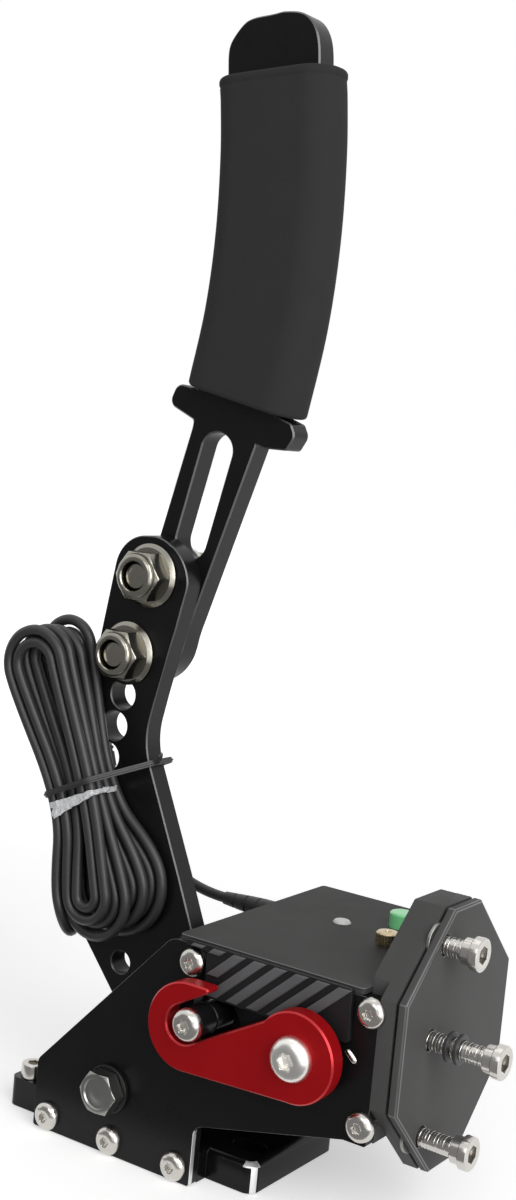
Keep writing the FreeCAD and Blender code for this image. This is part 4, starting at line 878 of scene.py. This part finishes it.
def wire_spiral(tree, turns, radius, height, wire_radius, steps, sides):
    """A wire of a radius on a spiral with so many steps a turn."""
    spiral = add_node(tree, "GeometryNodeCurveSpiral", {
        "Resolution": steps, "Rotations": turns, "Start Radius": radius, "End Radius": radius,
        "Height": height})
    wire = add_node(tree, "GeometryNodeCurvePrimitiveCircle", {"Resolution": sides, "Radius": wire_radius})
    return add_node(tree, "GeometryNodeCurveToMesh", {
        "Curve": spiral.outputs["Curve"], "Profile Curve": wire.outputs["Curve"],
        "Fill Caps": True}).outputs["Mesh"]


def grown(name, tree, start, finish_name, values):
    """The plain mesh that a tree makes from a starting mesh, with its inputs set by their titles."""
    values = {**values, "Material": FINISH[finish_name]}
    carrier = linked(name + "_carrier", start)
    modifier = carrier.modifiers.new("grow", "NODES")
    modifier.node_group = tree
    for socket in tree.interface.items_tree:
        if socket.in_out == "INPUT" and socket.name in values:
            modifier[socket.identifier] = values[socket.name]
    mesh = mesh_of(carrier)
    mesh.name = name
    bpy.data.objects.remove(carrier)
    return mesh


# %% Thread tree
RIDGE_SHARE, RIDGE_SUNK = 0.3, 0.34
thread_tree, given = new_tree("screw_thread", {"Radius": "Float", "Length": "Float", "Pitch": "Float"})
turns = add_node(thread_tree, "ShaderNodeMath", {0: given["Length"], 1: given["Pitch"]}, operation="DIVIDE")
ridge = wire_spiral(thread_tree, turns.outputs[0], given["Radius"], given["Length"],
                    scaled(thread_tree, given["Pitch"], RIDGE_SHARE), 30, 6)
end_tree(thread_tree, given, moved(thread_tree, ridge, scaled(thread_tree, given["Length"], -1.0)),
         given["Geometry"])

# %% Screw set tree
set_tree, given = new_tree("screw_set", {"Screw": "Object"})
master = add_node(set_tree, "GeometryNodeObjectInfo", {"Object": given["Screw"]})
facing = add_node(set_tree, "GeometryNodeInputNamedAttribute", {"Name": "facing"}, data_type="FLOAT_VECTOR")
align = add_node(set_tree, "FunctionNodeAlignRotationToVector", {"Vector": facing.outputs["Attribute"]},
                 axis="Z")
stand = add_node(set_tree, "GeometryNodeInstanceOnPoints", {
    "Points": given["Geometry"], "Instance": master.outputs["Geometry"],
    "Rotation": align.outputs["Rotation"]})
end_tree(set_tree, given, stand.outputs["Instances"])

# %% Stand the screws in their places
UP, LEFT, RIGHT, FRONT = Vector((0, 0, 1)), Vector((0, -1, 0)), Vector((0, 1, 0)), Vector((1, 0, 0))
HALF_BODY = 34
LEVER_HOLES = [(-24, 187), (-30.7, 159.4)]


def screw_set(name, rings, places, finish_name, node, body="frame", thread=None, joined=False):
    """Copies of one screw at places (x, y, z, direction). A thread is (radius, length, pitch)."""
    master_mesh = loft_mesh(name + "_master", rings, joined)
    if thread:
        radius, length, pitch = thread
        master_mesh = grown(name + "_thread", thread_tree, master_mesh, finish_name, {
            "Radius": (radius - pitch * RIDGE_SUNK) * MM, "Length": length * MM, "Pitch": pitch * MM})
    master = linked(name + "_master", master_mesh)
    points = bpy.data.meshes.new(name + "_points")
    points.from_pydata([Vector(place[:3]) * MM for place in places], [], [])
    ways = points.attributes.new("facing", "FLOAT_VECTOR", "POINT")
    for number, place in enumerate(places):
        ways.data[number].vector = place[3]
    mesh = grown(name, set_tree, points, finish_name, {"Screw": master})
    bpy.data.objects.remove(master)
    settle(piece(name, mesh, [finish_name], 32), body, "stainless_steel", node)


m5_button = button_screw(2.45, 12, 4.75, 2.75, 3, 1.5)
screw_set("base_button_screws", m5_button,
          [(x, side * HALF_BODY, 5, RIGHT * side) for x in (-24.75, 1.75, 28.25) for side in (-1, 1)],
          "stainless_steel", "base_screws")
screw_set("flange_button_screws", m5_button,
          [(93.6, side * HALF_BODY, z, RIGHT * side) for z in (38.9, 73.6) for side in (-1, 1)],
          "stainless_steel", "flange_screws")
screw_set("tray_button_screw", m5_button, [(28.8, -HALF_BODY, 72.1, LEFT)], "stainless_steel", "tray_screw")
screw_set("rear_socket_screws", socket_screw(2.5, 9.5, 4.25, 5, 4, 2.4),
          [(-42.5, side * 22, 10, UP) for side in (-1, 1)], "stainless_steel", "rear_bolts")
screw_set("preload_socket_screw", socket_screw(2.88, 35, 5.2, 6, 5, 3, 4.2), [(123.5, -16.5, 64, FRONT)],
          "stainless_steel", "preload_screw", thread=(3, 33, 1))
screw_set("travel_socket_screws", socket_screw(2.88, 20, 5.2, 6, 5, 3, 4.2),
          [(111.3, -13, 92.5, FRONT), (116.3, -16.5, 34, FRONT)], "stainless_steel", "travel_screws",
          thread=(3, 19, 1))
screw_set("pivot_hexagon_bolt", hexagon_bolt(4, 80.2, 13, 5.3), [(0, -35.6, 22, LEFT)], "zinc", "pivot_bolt")
screw_set("pivot_lock_nut", lock_nut(4.05, 13, 6.2, 1.8), [(0, 35.6, 22, RIGHT)], "zinc", "pivot_nut",
          joined=True)
screw_set("lever_hexagon_bolts", hexagon_bolt(4.75, 27.4, 16, 6.4),
          [(x, 15, z, RIGHT) for x, z in LEVER_HOLES], "nickel", "lever_bolts", "lever", (4.95, 26.4, 1.5))
screw_set("lever_flange_nuts", lock_nut(5.05, 16, 8.4, 1.8, 10.9),
          [(x, -4, z, LEFT) for x, z in LEVER_HOLES], "nickel", "lever_lock_nuts", "lever", joined=True)
screw_set("drive_pin_button_screw", button_screw(3, 49.5, 5.25, 3.3, 4, 1.9), [(37, -45.5, 57, LEFT)],
          "stainless_steel", "drive_pin_screw", "lever")
screw_set("arm_button_head", button_screw(2, 7, 7, 4.2, 5, 2.4), [(74, -44, 56.6, LEFT)], "satin_steel",
          "arm_screw", "sensor_rocker")

# %% [markdown]
# ## The knurled brass screw
# Fingers turn this screw, so its rim is knurled: straight ridges, pressed in by a wheel.
# The ridges repeat round a circle, which is a ring of points with one small prism on each.

# %% Knurl tree
knurl_tree, given = new_tree("knurled_rim", {
    "Ridges": "Int", "Radius": "Float", "Low": "Float", "Height": "Float", "Ridge Radius": "Float"})
round_points = add_node(knurl_tree, "GeometryNodeMeshCircle", {
    "Vertices": given["Ridges"], "Radius": given["Radius"]})
prism = add_node(knurl_tree, "GeometryNodeMeshCylinder", {
    "Vertices": 6, "Radius": given["Ridge Radius"], "Depth": given["Height"]})
stand = add_node(knurl_tree, "GeometryNodeInstanceOnPoints", {
    "Points": round_points.outputs["Mesh"], "Instance": prism.outputs["Mesh"]})
middle = scaled(knurl_tree, given["Height"], 0.5, given["Low"])
end_tree(knurl_tree, given, moved(knurl_tree, stand.outputs["Instances"], middle), given["Geometry"])

# %% Brass screw piece
KNOB_RADIUS, KNOB_X, KNOB_Y = 3.9, 73.5, 8.5
knob_core = loft_mesh("knob_core", stack(
    (74.9, 1.3), (75.1, 1.5), (80, 1.5), (80, KNOB_RADIUS - 0.9), (80.8, KNOB_RADIUS - 0.8),
    (81.0, KNOB_RADIUS - 0.3), (84.1, KNOB_RADIUS - 0.3), (84.45, KNOB_RADIUS - 0.6),
    (84.6, KNOB_RADIUS - 1.1), (84.6, 1.2), (84.2, 0.9)))
knob_mesh = grown("lid_thumb_screw", knurl_tree, knob_core, "brass", {
    "Ridges": 26, "Radius": (KNOB_RADIUS - 0.3) * MM, "Low": 81.1 * MM, "Height": 2.9 * MM,
    "Ridge Radius": 0.3 * MM})
knob_mesh.transform(Matrix.Translation(Vector((KNOB_X, KNOB_Y, 0)) * MM))
settle(piece("lid_thumb_screw", knob_mesh, ["brass"], 30), "frame", "brass", "brass_screw")

# %% [markdown]
# ## The preload spring
# A compression spring is one wire on a spiral. It is pressed together when the lever is
# pulled. It runs from the fixed seat at one end to the plunger at the other.

# %% Spring tree and piece
SPRING_START, SPRING_END = 47.3, 84.2
SPRING_TURNS, SPRING_RADIUS, WIRE_RADIUS = 8.0, 5, 0.9
spring_tree, given = new_tree("coil_spring", {
    "Turns": "Float", "Radius": "Float", "Length": "Float", "Wire Radius": "Float"})
end_tree(spring_tree, given, wire_spiral(
    spring_tree, given["Turns"], given["Radius"], given["Length"], given["Wire Radius"], 36, 12))
spring_mesh = grown("preload_coil_spring", spring_tree, bpy.data.meshes.new("spring_start"),
                    "stainless_steel", {
                        "Turns": SPRING_TURNS, "Radius": SPRING_RADIUS * MM, "Wire Radius": WIRE_RADIUS * MM,
                        "Length": (SPRING_END - SPRING_START) * MM})
spring_mesh.transform(Matrix.Translation(Vector((SPRING_START, -16.5, 64)) * MM)
                      @ UP.rotation_difference(FRONT).to_matrix().to_4x4())
spring = piece("preload_coil_spring", spring_mesh, ["stainless_steel"], 60)
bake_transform(spring)
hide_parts("preload_spring")
print("spring faces", len(spring_mesh.polygons))

# %% [markdown]
# ## The foam grip
# The grip is a sleeve of foam rubber, pulled over the handle bar. It follows the bar's bow,
# its long sides are round, and its two ends are softly rounded where the foam was cut.
# It is a loft: one rounded section, swept along the bow, out of the top and back inside.

# %% Grip sections
GRIP_PLANE = 8.5
GRIP_STATIONS = [(0.0, 248.1, 0.205), (4.6, 275, 0.09), (6.3, 302, 0.0), (5.4, 330, -0.06),
                 (2.6, 354.6, -0.08)]
GRIP_WIDTH, GRIP_DEPTH, GRIP_ROUND = 45, 21, 10
BAR_WIDTH, BAR_WIDTH_AT_ENDS, BAR_DEPTH, BAR_ROUND, BAR_END_SHARE = 39.6, 38.4, 9.06, 1.2, 0.05


def between(stations, share):
    """A smooth run through the stations (a Catmull-Rom curve), share from 0 to 1."""
    place = share * (len(stations) - 1)
    index = min(int(place), len(stations) - 2)
    t = place - index
    p = [stations[max(0, min(len(stations) - 1, index + k))] for k in (-1, 0, 1, 2)]
    result = []
    for a, b, c, d in zip(*p):
        result.append(0.5 * (2 * b + (c - a) * t + (2 * a - 5 * b + 4 * c - d) * t ** 2
                             + (3 * b - a - 3 * c + d) * t ** 3))
    return result


def rounded_ring(width, depth, radius, corner_steps=10):
    """Points (across, deep) round a rounded rectangle."""
    points = []
    for quarter, (sx, sy) in enumerate(((1, 1), (-1, 1), (-1, -1), (1, -1))):
        for step in range(corner_steps + 1):
            angle = math.pi / 2 * (quarter + step / corner_steps)
            points.append((sx * (width / 2 - radius) + radius * math.cos(angle),
                           sy * (depth / 2 - radius) + radius * math.sin(angle)))
    return points


def grip_ring(share, along=0, inset=0, inner=False):
    x, z, lean = between(GRIP_STATIONS, share)
    across = Vector((math.cos(lean), 0, -math.sin(lean)))
    upward = Vector((math.sin(lean), 0, math.cos(lean)))
    centre = Vector((x, GRIP_PLANE, z)) + upward * along
    if inner:
        wide = BAR_WIDTH if BAR_END_SHARE < share < 1 - BAR_END_SHARE else BAR_WIDTH_AT_ENDS
        flat = rounded_ring(wide, BAR_DEPTH, BAR_ROUND)
    else:
        flat = rounded_ring(GRIP_WIDTH - 2 * inset, GRIP_DEPTH - 2 * inset, GRIP_ROUND - inset)
    return [(centre + across * a + Vector((0, b, 0))) * MM for a, b in flat]


# %% Grip piece
END_ROUND, END_STEPS, GRIP_STEPS, STEPS_APART = 1.5, 5, 44, 3
LIP = [(-3.6, 0), (-3.2, 0.12), (-2.9, 0), (-2.5, -0.25)]
arc = [(END_ROUND * (1 - math.cos(t)), END_ROUND * (1 - math.sin(t)))
       for t in (math.pi / 2 * step / END_STEPS for step in range(END_STEPS + 1))]
grip_rings = [grip_ring(0, along, inset) for along, inset in arc]
grip_rings += [grip_ring(step / GRIP_STEPS) for step in range(STEPS_APART, GRIP_STEPS - STEPS_APART)]
grip_rings += [grip_ring(1, along, inset) for along, inset in LIP]
grip_rings += [grip_ring(1, -along, inset - 0.3) for along, inset in reversed(arc)]
grip_rings += [grip_ring(step / GRIP_STEPS, inner=True) for step in range(GRIP_STEPS, -1, -1)]
grip = lofted("foam_grip_sleeve", grip_rings, "dark_foam", 50, joined=True)
settle(grip, "lever", "dark_foam", "foam_grip")

# %% [markdown]
# ## The two ties round the hank
# A strip of clear film holds the folded cable together, and a black twist tie goes round the
# hank and the lever. Film is stiff and thin, so it creases: each point of the strip is moved
# in or out a little by noise. The twist tie is a flat plastic ribbon with a wire in it, so
# its section is thick in the middle, and its two ends are twisted together in front.

# %% Strip helpers
CORNER_STEPS = 5


def rounded_loop(corners, radius):
    """A closed outline whose corners are rounded by short curves."""
    loop = []
    for index, corner in enumerate(corners):
        before, after = corners[index - 1], corners[(index + 1) % len(corners)]
        start = corner + (before - corner).normalized() * radius
        end = corner + (after - corner).normalized() * radius
        for step in range(CORNER_STEPS + 1):
            t = step / CORNER_STEPS
            loop.append(start * (1 - t) ** 2 + corner * (2 * t * (1 - t)) + end * t ** 2)
    return loop


def even_steps(loop, spacing):
    """Points at equal distances on a closed outline."""
    sides = list(zip(loop, loop[1:] + loop[:1]))
    total = sum((b - a).length for a, b in sides)
    count = round(total / spacing)
    points, walked, goal = [], 0.0, 0.0
    for a, b in sides:
        side = (b - a).length
        while side and goal <= walked + side and len(points) < count:
            points.append(a.lerp(b, (goal - walked) / side))
            goal += total / count
        walked += side
    return points


def strip_mesh(name, loop, section, rise_of):
    """A strip that follows a loop of (side, depth); section gives (out, up) pairs for a place on it."""
    rings = []
    for index, place in enumerate(loop):
        along = (loop[(index + 1) % len(loop)] - loop[index - 1]).normalized()
        out = Vector((along.y, -along.x))
        ring_points = []
        for outward, upward in section(place):
            spot = place + out * outward
            ring_points.append(hank_point(spot.x, rise_of(place) + upward, spot.y) * MM)
        rings.append(ring_points)
    return loft_mesh(name, rings, joined=True)


# %% Clear film strip
FILM_CORNERS = [Vector(p) for p in ((-3.4, -21.3), (18.7, -21.3), (15.3, -4.1), (-7.2, -4.1))]
FILM_WIDE, FILM_NARROWING, FILM_THICK = 3.0, 0.1, 0.16
FILM_RISE, FILM_SLOPE = -6.4, 0.2
BULGE, LARGE_CREASE, SMALL_CREASE, UPWARD_CREASE = 0.4, 0.6, 0.35, 0.35
film_loop = even_steps(rounded_loop(FILM_CORNERS, 3.5), 0.4)


def film_rise(place):
    return FILM_RISE + FILM_SLOPE * place.x


def film_section(place):
    """Half the film's width on each side, creased by noise and closed by its thickness."""
    wide = FILM_WIDE - (place.x - FILM_CORNERS[0].x) * FILM_NARROWING
    crease = []
    for share in (-1, -0.7, -0.4, -0.1, 0.2, 0.5, 0.8, 1):
        spot = Vector((place.x * 0.5, place.y * 0.5, share * 2.6))
        out = BULGE + LARGE_CREASE * noise.noise(spot) + SMALL_CREASE * noise.noise(spot * 2.3)
        crease.append((out, share * wide + UPWARD_CREASE * noise.noise(spot + Vector((9, 9, 9)))))
    return crease + [(o - FILM_THICK, u) for o, u in reversed(crease)]


film_mesh = strip_mesh("clear_film_strip", film_loop, film_section, film_rise)
settle(piece("clear_film_strip", film_mesh, ["clear_plastic"], 14), "lever", "clear_plastic")

# %% Black twist tie
TIE_CORNERS = [Vector(p) for p in (
    (-6.0, -18.5), (-2.6, -22.4), (15.8, -22.4), (18.9, -19.2), (32.2, -5.3), (32.2, 5.6), (-9.0, 5.6))]
TIE_RISE, TIE_SLOPE = -0.6, 0.123
TWIST_STEPS, TWIST_TURNS = 30, 1.6
TWIST_SIDE, TWIST_REACH, TWIST_DEPTH, TWIST_BEND = 32.9, 3.4, -4.6, -1.2
TWIST_LIFT, TWIST_END_LIFT = 0.2, 1.6
STRAND_APART, STRAND_SIZE, STRAND_THINNING, STRAND_FLATNESS = 0.45, 0.75, 0.25, 0.7
tie_loop = even_steps(rounded_loop(TIE_CORNERS, 1.6), 0.6)


def tie_rise(place):
    return TIE_RISE + TIE_SLOPE * place.x


def ribbon_section(place):
    return [(0.1, -1.05), (0.35, -0.95), (0.4, -0.45), (0.75, -0.3), (0.85, 0), (0.75, 0.3), (0.4, 0.45),
            (0.35, 0.95), (0.1, 1.05), (0, 0.9), (0, -0.9)]


def twist_ring(share, hand):
    """One section of a twisted end: it runs out from the tie and thins towards its tip."""
    turn = hand + share * 2 * math.pi * TWIST_TURNS
    bend = Vector((TWIST_SIDE + TWIST_REACH * share, TWIST_DEPTH + TWIST_BEND * share))
    rise = tie_rise(bend) + TWIST_LIFT + TWIST_END_LIFT * share * share
    middle = hank_point(bend.x + STRAND_APART * math.cos(turn), rise + STRAND_APART * math.sin(turn), bend.y)
    size = STRAND_SIZE - STRAND_THINNING * share
    ring_points = []
    for angle in around(8):
        side = size * STRAND_FLATNESS * math.cos(angle)
        ring_points.append((middle + UPWARD * (size * math.sin(angle)) + Vector((0, side, 0))
                            + SIDEWAYS * side) * MM)
    return ring_points


twist = bmesh.new()
twist.from_mesh(strip_mesh("black_twist_tie", tie_loop, ribbon_section, tie_rise))
for hand in (0, math.pi):
    loft(twist, [twist_ring(step / TWIST_STEPS, hand) for step in range(TWIST_STEPS + 1)])
tie = piece("black_twist_tie", to_mesh(twist, "black_twist_tie_ends"), ["black_rubber"], 40)
settle(tie, "lever", "black_plastic", "cable_tie")

# %% [markdown]
# ## The plug
# The cable ends in a USB plug, which hangs on the far side of the hank. Its housing is
# moulded: a rounded block with finger grooves, and a ribbed sleeve that keeps the cable from
# kinking. Its metal shell is folded sheet, open in front, with two windows that a socket's
# springs snap into. The shell's wall gets its thickness after the windows are cut.

# %% Plug housing
HOUSING_WIDE, HOUSING_DEEP, GROOVES, SLEEVE_RIBS = 15, 7.6, 4, 5


def plug_point(side, rise, depth):
    return hank_point(PLUG_SIDE + side, rise, PLUG_DEPTH + depth) * MM


def plug_ring(rise, width, depth, radius):
    return [plug_point(a, rise, b) for a, b in rounded_ring(width, depth, radius)]


def full_ring(rise, inset=0.0):
    return plug_ring(rise, HOUSING_WIDE - inset, HOUSING_DEEP - inset, 2 - inset / 4)


def sleeve_ring(rise, width):
    return plug_ring(rise, width, width, width / 2 - 0.02)


housing_rings = [plug_ring(4, 13.6, 6.2, 1.6), full_ring(4.5), full_ring(9)]
for groove in range(GROOVES):
    low = 9.6 + groove * 2
    housing_rings += [full_ring(low), full_ring(low + 0.3, 0.8), full_ring(low + 0.9, 0.8),
                      full_ring(low + 1.2)]
housing_rings += [full_ring(19), plug_ring(20, 13, 6.9, 2.4), plug_ring(20.5, 8, 6.4, 3)]
for rib in range(SLEEVE_RIBS):
    low = 20.8 + rib * 1.4
    wide = 6.4 - rib * 0.35
    housing_rings += [sleeve_ring(low, wide), sleeve_ring(low + 0.8, wide),
                      sleeve_ring(low + 0.9, wide - 1), sleeve_ring(low + 1.3, wide - 1)]
housing_rings.append(sleeve_ring(PLUG_TOP, 4.2))
plug_housing = lofted("plug_housing", housing_rings, "black_plastic")
settle(plug_housing, "lever", "black_plastic", "usb_plug_housing")

# %% Plug shell
SHELL_WIDTH, SHELL_DEPTH, SHELL_WALL = 12.0, 4.5, 0.3
WINDOW_ROW, WINDOW_FROM, WINDOW_TO = 3, 1.7, 3.9
SHELL_RISES = [4.2, 2, -1, -3.6, -6.0, -9, -11.8, -12]
TONGUE_ASIDE, TONGUE_DEPTH, TONGUE = 0.7, 1.8, ((4, 11.2), (-10.6, 11.2), (-11, 10.8))
corners = rounded_ring(SHELL_WIDTH, SHELL_DEPTH, 0.5, 3)
flat_steps = [-WINDOW_TO, -3.3, -WINDOW_FROM, WINDOW_FROM, 3.3, WINDOW_TO]
top_side = [(a, SHELL_DEPTH / 2) for a in reversed(flat_steps)]
low_side = [(a, -SHELL_DEPTH / 2) for a in flat_steps]
outline = corners[:4] + top_side + corners[4:12] + low_side + corners[12:]


def in_window(row, a, b):
    """Whether a face between two points of the outline belongs to one of the windows."""
    level = min(abs(a[1]), abs(b[1])) > SHELL_DEPTH / 2 - 0.01
    return row == WINDOW_ROW and level and WINDOW_FROM < abs((a[0] + b[0]) / 2) < WINDOW_TO


bm = bmesh.new()
rows = [[bm.verts.new(plug_point(a, rise, b)) for a, b in outline] for rise in SHELL_RISES]
for row, (upper, lower) in enumerate(zip(rows, rows[1:])):
    for step in range(len(outline)):
        after = (step + 1) % len(outline)
        if not in_window(row, outline[step], outline[after]):
            bm.faces.new((upper[step], upper[after], lower[after], lower[step]))
bmesh.ops.recalc_face_normals(bm, faces=bm.faces)
bmesh.ops.solidify(bm, geom=bm.faces[:], thickness=SHELL_WALL * MM)
loft(bm, [[plug_point(a, rise, b - TONGUE_ASIDE) for a, b in rounded_ring(width, TONGUE_DEPTH, 0.3, 3)]
          for rise, width in TONGUE])
shell = piece("plug_shell", to_mesh(bm, "plug_shell"), ["stainless_steel"])
settle(shell, "lever", "stainless_steel", "usb_plug_shell")

print("cord path points", len(cable_line))

# %% [markdown]
# ## The pin sleeve
# The sleeve on the drive pin is a turned black tube. Two fine grooves and a narrower step
# near its inner end were cut in the lathe, so its profile is a stack of rings once more.

# %% Pin sleeve piece
SLEEVE_X, SLEEVE_Z = 37, 57
SLEEVE_PROFILE = [
    (-45.5, 4.7), (-45.2, 5.0), (-38, 5.0), (-37.7, 4.7), (-37.2, 4.7), (-36.9, 5.0), (-22, 5.0),
    (-21.7, 4.7), (-21.2, 4.7), (-20.9, 5.0), (-10, 5.0), (-9.7, 4.8), (-4, 4.8), (-4, 3.05), (-45.5, 3.05)]
sleeve_rings = []
for height, radius in SLEEVE_PROFILE:
    middle = Vector((SLEEVE_X, height, SLEEVE_Z)) * MM
    sleeve_rings.append([middle + Vector((spot.x, 0, spot.y)) for spot in ring(0, radius)])
sleeve = lofted("turned_pin_sleeve", sleeve_rings, "black_aluminium", joined=True)
settle(sleeve, "lever", "black_aluminium", "drive_pin_sleeve")

# %% [markdown]
# ## Light, floor and background
# Product photographs are lit by large soft boxes, so that metal shows broad bright bands and
# shadows stay soft. One large lamp stands to the right of the camera, a weak one above the
# object and a weak one above the camera. The background is white through Light Path: rays
# from the camera, and rays that a mirror or glass sends on, see a white world, while the
# light on the object is weaker.

# %% Shader switch


def seen_directly(tree):
    """1 for camera, glossy and transmission rays, otherwise 0."""
    rays = add_node(tree, "ShaderNodeLightPath").outputs
    total = rays["Is Camera Ray"]
    for name in ("Is Glossy Ray", "Is Transmission Ray"):
        either = add_node(tree, "ShaderNodeMath", {0: total, 1: rays[name]}, operation="MAXIMUM")
        total = either.outputs["Value"]
    return total


def switched(tree, otherwise, directly, output):
    """One shader for rays that light the object, and another for rays that show what they meet."""
    switch = add_node(tree, "ShaderNodeMixShader", {"Fac": seen_directly(tree), 1: otherwise, 2: directly})
    fill(tree, tree.nodes[output], {"Surface": switch.outputs["Shader"]})


# %% World
WORLD_LIGHT = 0.35
WHITE = (1, 1, 1, 1)
world = bpy.data.worlds.new("white_studio")
world.use_nodes = True
bpy.context.scene.world = world
tree = world.node_tree
dim = tree.nodes["Background"]
fill(tree, dim, {"Color": WHITE, "Strength": WORLD_LIGHT})
white = add_node(tree, "ShaderNodeBackground", {"Color": WHITE, "Strength": 1.0})
switched(tree, dim.outputs["Background"], white.outputs["Background"], "World Output")
print("world light", WORLD_LIGHT)

# %% Floor
FLOOR_HALF, FLOOR_Z = 4, -0.0003
floor_material, tree = new_material("white_floor")
paint = tree.nodes["Principled BSDF"]
fill(tree, paint, {"Base Color": (0.8, 0.8, 0.8, 1), "Roughness": 0.9, "Specular IOR Level": 0.1})
place = add_node(tree, "ShaderNodeTexCoord")
away = add_node(tree, "ShaderNodeVectorMath", {0: place.outputs["Object"]}, operation="LENGTH")
brighter = add_node(tree, "ShaderNodeMapRange", {
    "Value": away.outputs["Value"], "From Min": 0.15, "From Max": 1.0, "To Min": 0.45, "To Max": 0.85},
    interpolation_type="SMOOTHSTEP")
glow = add_node(tree, "ShaderNodeEmission", {"Color": WHITE, "Strength": brighter.outputs["Result"]})
both = add_node(tree, "ShaderNodeAddShader", {0: paint.outputs["BSDF"], 1: glow.outputs["Emission"]})
switched(tree, paint.outputs["BSDF"], both.outputs["Shader"], "Material Output")


def stage_sheet(name, rows, material):
    """A sheet for the stage, between rows of points."""
    bm = bmesh.new()
    made = [[bm.verts.new(place) for place in row] for row in rows]
    for low, high in zip(made, made[1:]):
        bm.faces.new((low[0], low[1], high[1], high[0]))
    sheet = linked(name, to_mesh(bm, name, False))
    sheet.data.materials.append(material)
    sheet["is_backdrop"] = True
    print(name, "faces", len(sheet.data.polygons))
    return sheet


stage_sheet("studio_floor", [[(-FLOOR_HALF, y, FLOOR_Z), (FLOOR_HALF, y, FLOOR_Z)]
                             for y in (-FLOOR_HALF, FLOOR_HALF)], floor_material)

# %% Lamps
LAMP_AIM = Vector((0.02, 0, 0.15))


def soft_box(name, place, size, tall, watts):
    data = bpy.data.lights.new(name, "AREA")
    data.shape = "RECTANGLE"
    data.size = size
    data.size_y = tall
    data.energy = watts
    lamp = linked(name, data)
    lamp.location = place
    way = LAMP_AIM - Vector(place)
    lamp.rotation_euler = way.to_track_quat("-Z", "Y").to_euler()
    print(name, "distance in m", round(way.length, 2), "watts", watts)


soft_box("key_box", (1.2, -0.6, 0.75), 0.8, 1.5, 17)
soft_box("top_box", (-0.3, 0.1, 1.5), 0.8, 0.8, 1.2)
soft_box("front_box", (0.3, -1.35, 1.0), 0.9, 0.7, 4)

# %% [markdown]
# ## The grey side of the studio
# A mirror shows the room behind the photographer, and that side of a studio is not lit. A
# grey glowing screen there, seen only by reflections, is a painted reflection: it keeps the
# black plates black and gives the steel heads their dark and bright bands. It gives no light
# and throws no shadow.

# %% Grey screen
SCREEN_GLOW, SCREEN_LEFT, SCREEN_RIGHT = 0.28, -2.4, 0.3
SCREEN_PROFILE = [(-0.056, 0.001), (-1.5, 0.001), (-1.75, 0.25), (-1.75, 1.6)]
# painted reflection: a glowing sheet that only reflections see
screen_material, tree = new_material("grey_screen")
tree.nodes.remove(tree.nodes["Principled BSDF"])
glow = add_node(tree, "ShaderNodeEmission", {"Color": WHITE, "Strength": SCREEN_GLOW})
fill(tree, tree.nodes["Material Output"], {"Surface": glow.outputs["Emission"]})
screen = stage_sheet("grey_screen", [[(SCREEN_LEFT, y, z), (SCREEN_RIGHT, y, z)] for y, z in SCREEN_PROFILE],
                     screen_material)
for ray in ("camera", "diffuse", "transmission", "volume_scatter", "shadow"):
    setattr(screen, "visible_" + ray, False)

# %% [markdown]
# ## A dowel end in the left side plate
# Near the front flange a short steel dowel lies in a slanting slot of the side plate. Only
# its rounded side shows, as a bright oblong.

# %% Dowel piece
DOWEL_START, DOWEL_END = Vector((85.9, -33.6, 60.7)), Vector((90.0, -33.6, 57.0))
DOWEL_RADIUS, DOWEL_STEPS, DOWEL_SIDES = 1.15, 8, 20
dowel_side = (DOWEL_END - DOWEL_START).normalized().cross(RIGHT)
dowel_rings = []
for step in range(DOWEL_STEPS + 1):
    share = step / DOWEL_STEPS
    reach = DOWEL_RADIUS * math.sqrt(max(0.02, 1 - abs(2 * share - 1) ** 6))
    middle = DOWEL_START.lerp(DOWEL_END, share)
    dowel_rings.append([(middle + dowel_side * (reach * math.cos(a)) + RIGHT * (reach * math.sin(a))) * MM
                        for a in around(DOWEL_SIDES)])
settle(lofted("plate_dowel", dowel_rings, "stainless_steel", 50), "frame", "stainless_steel")

# %% Finish the scene
bpy.context.scene.view_settings.view_transform = "Standard"
low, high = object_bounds()
print("visual box in mm", [round(x / MM, 1) for x in high - low])
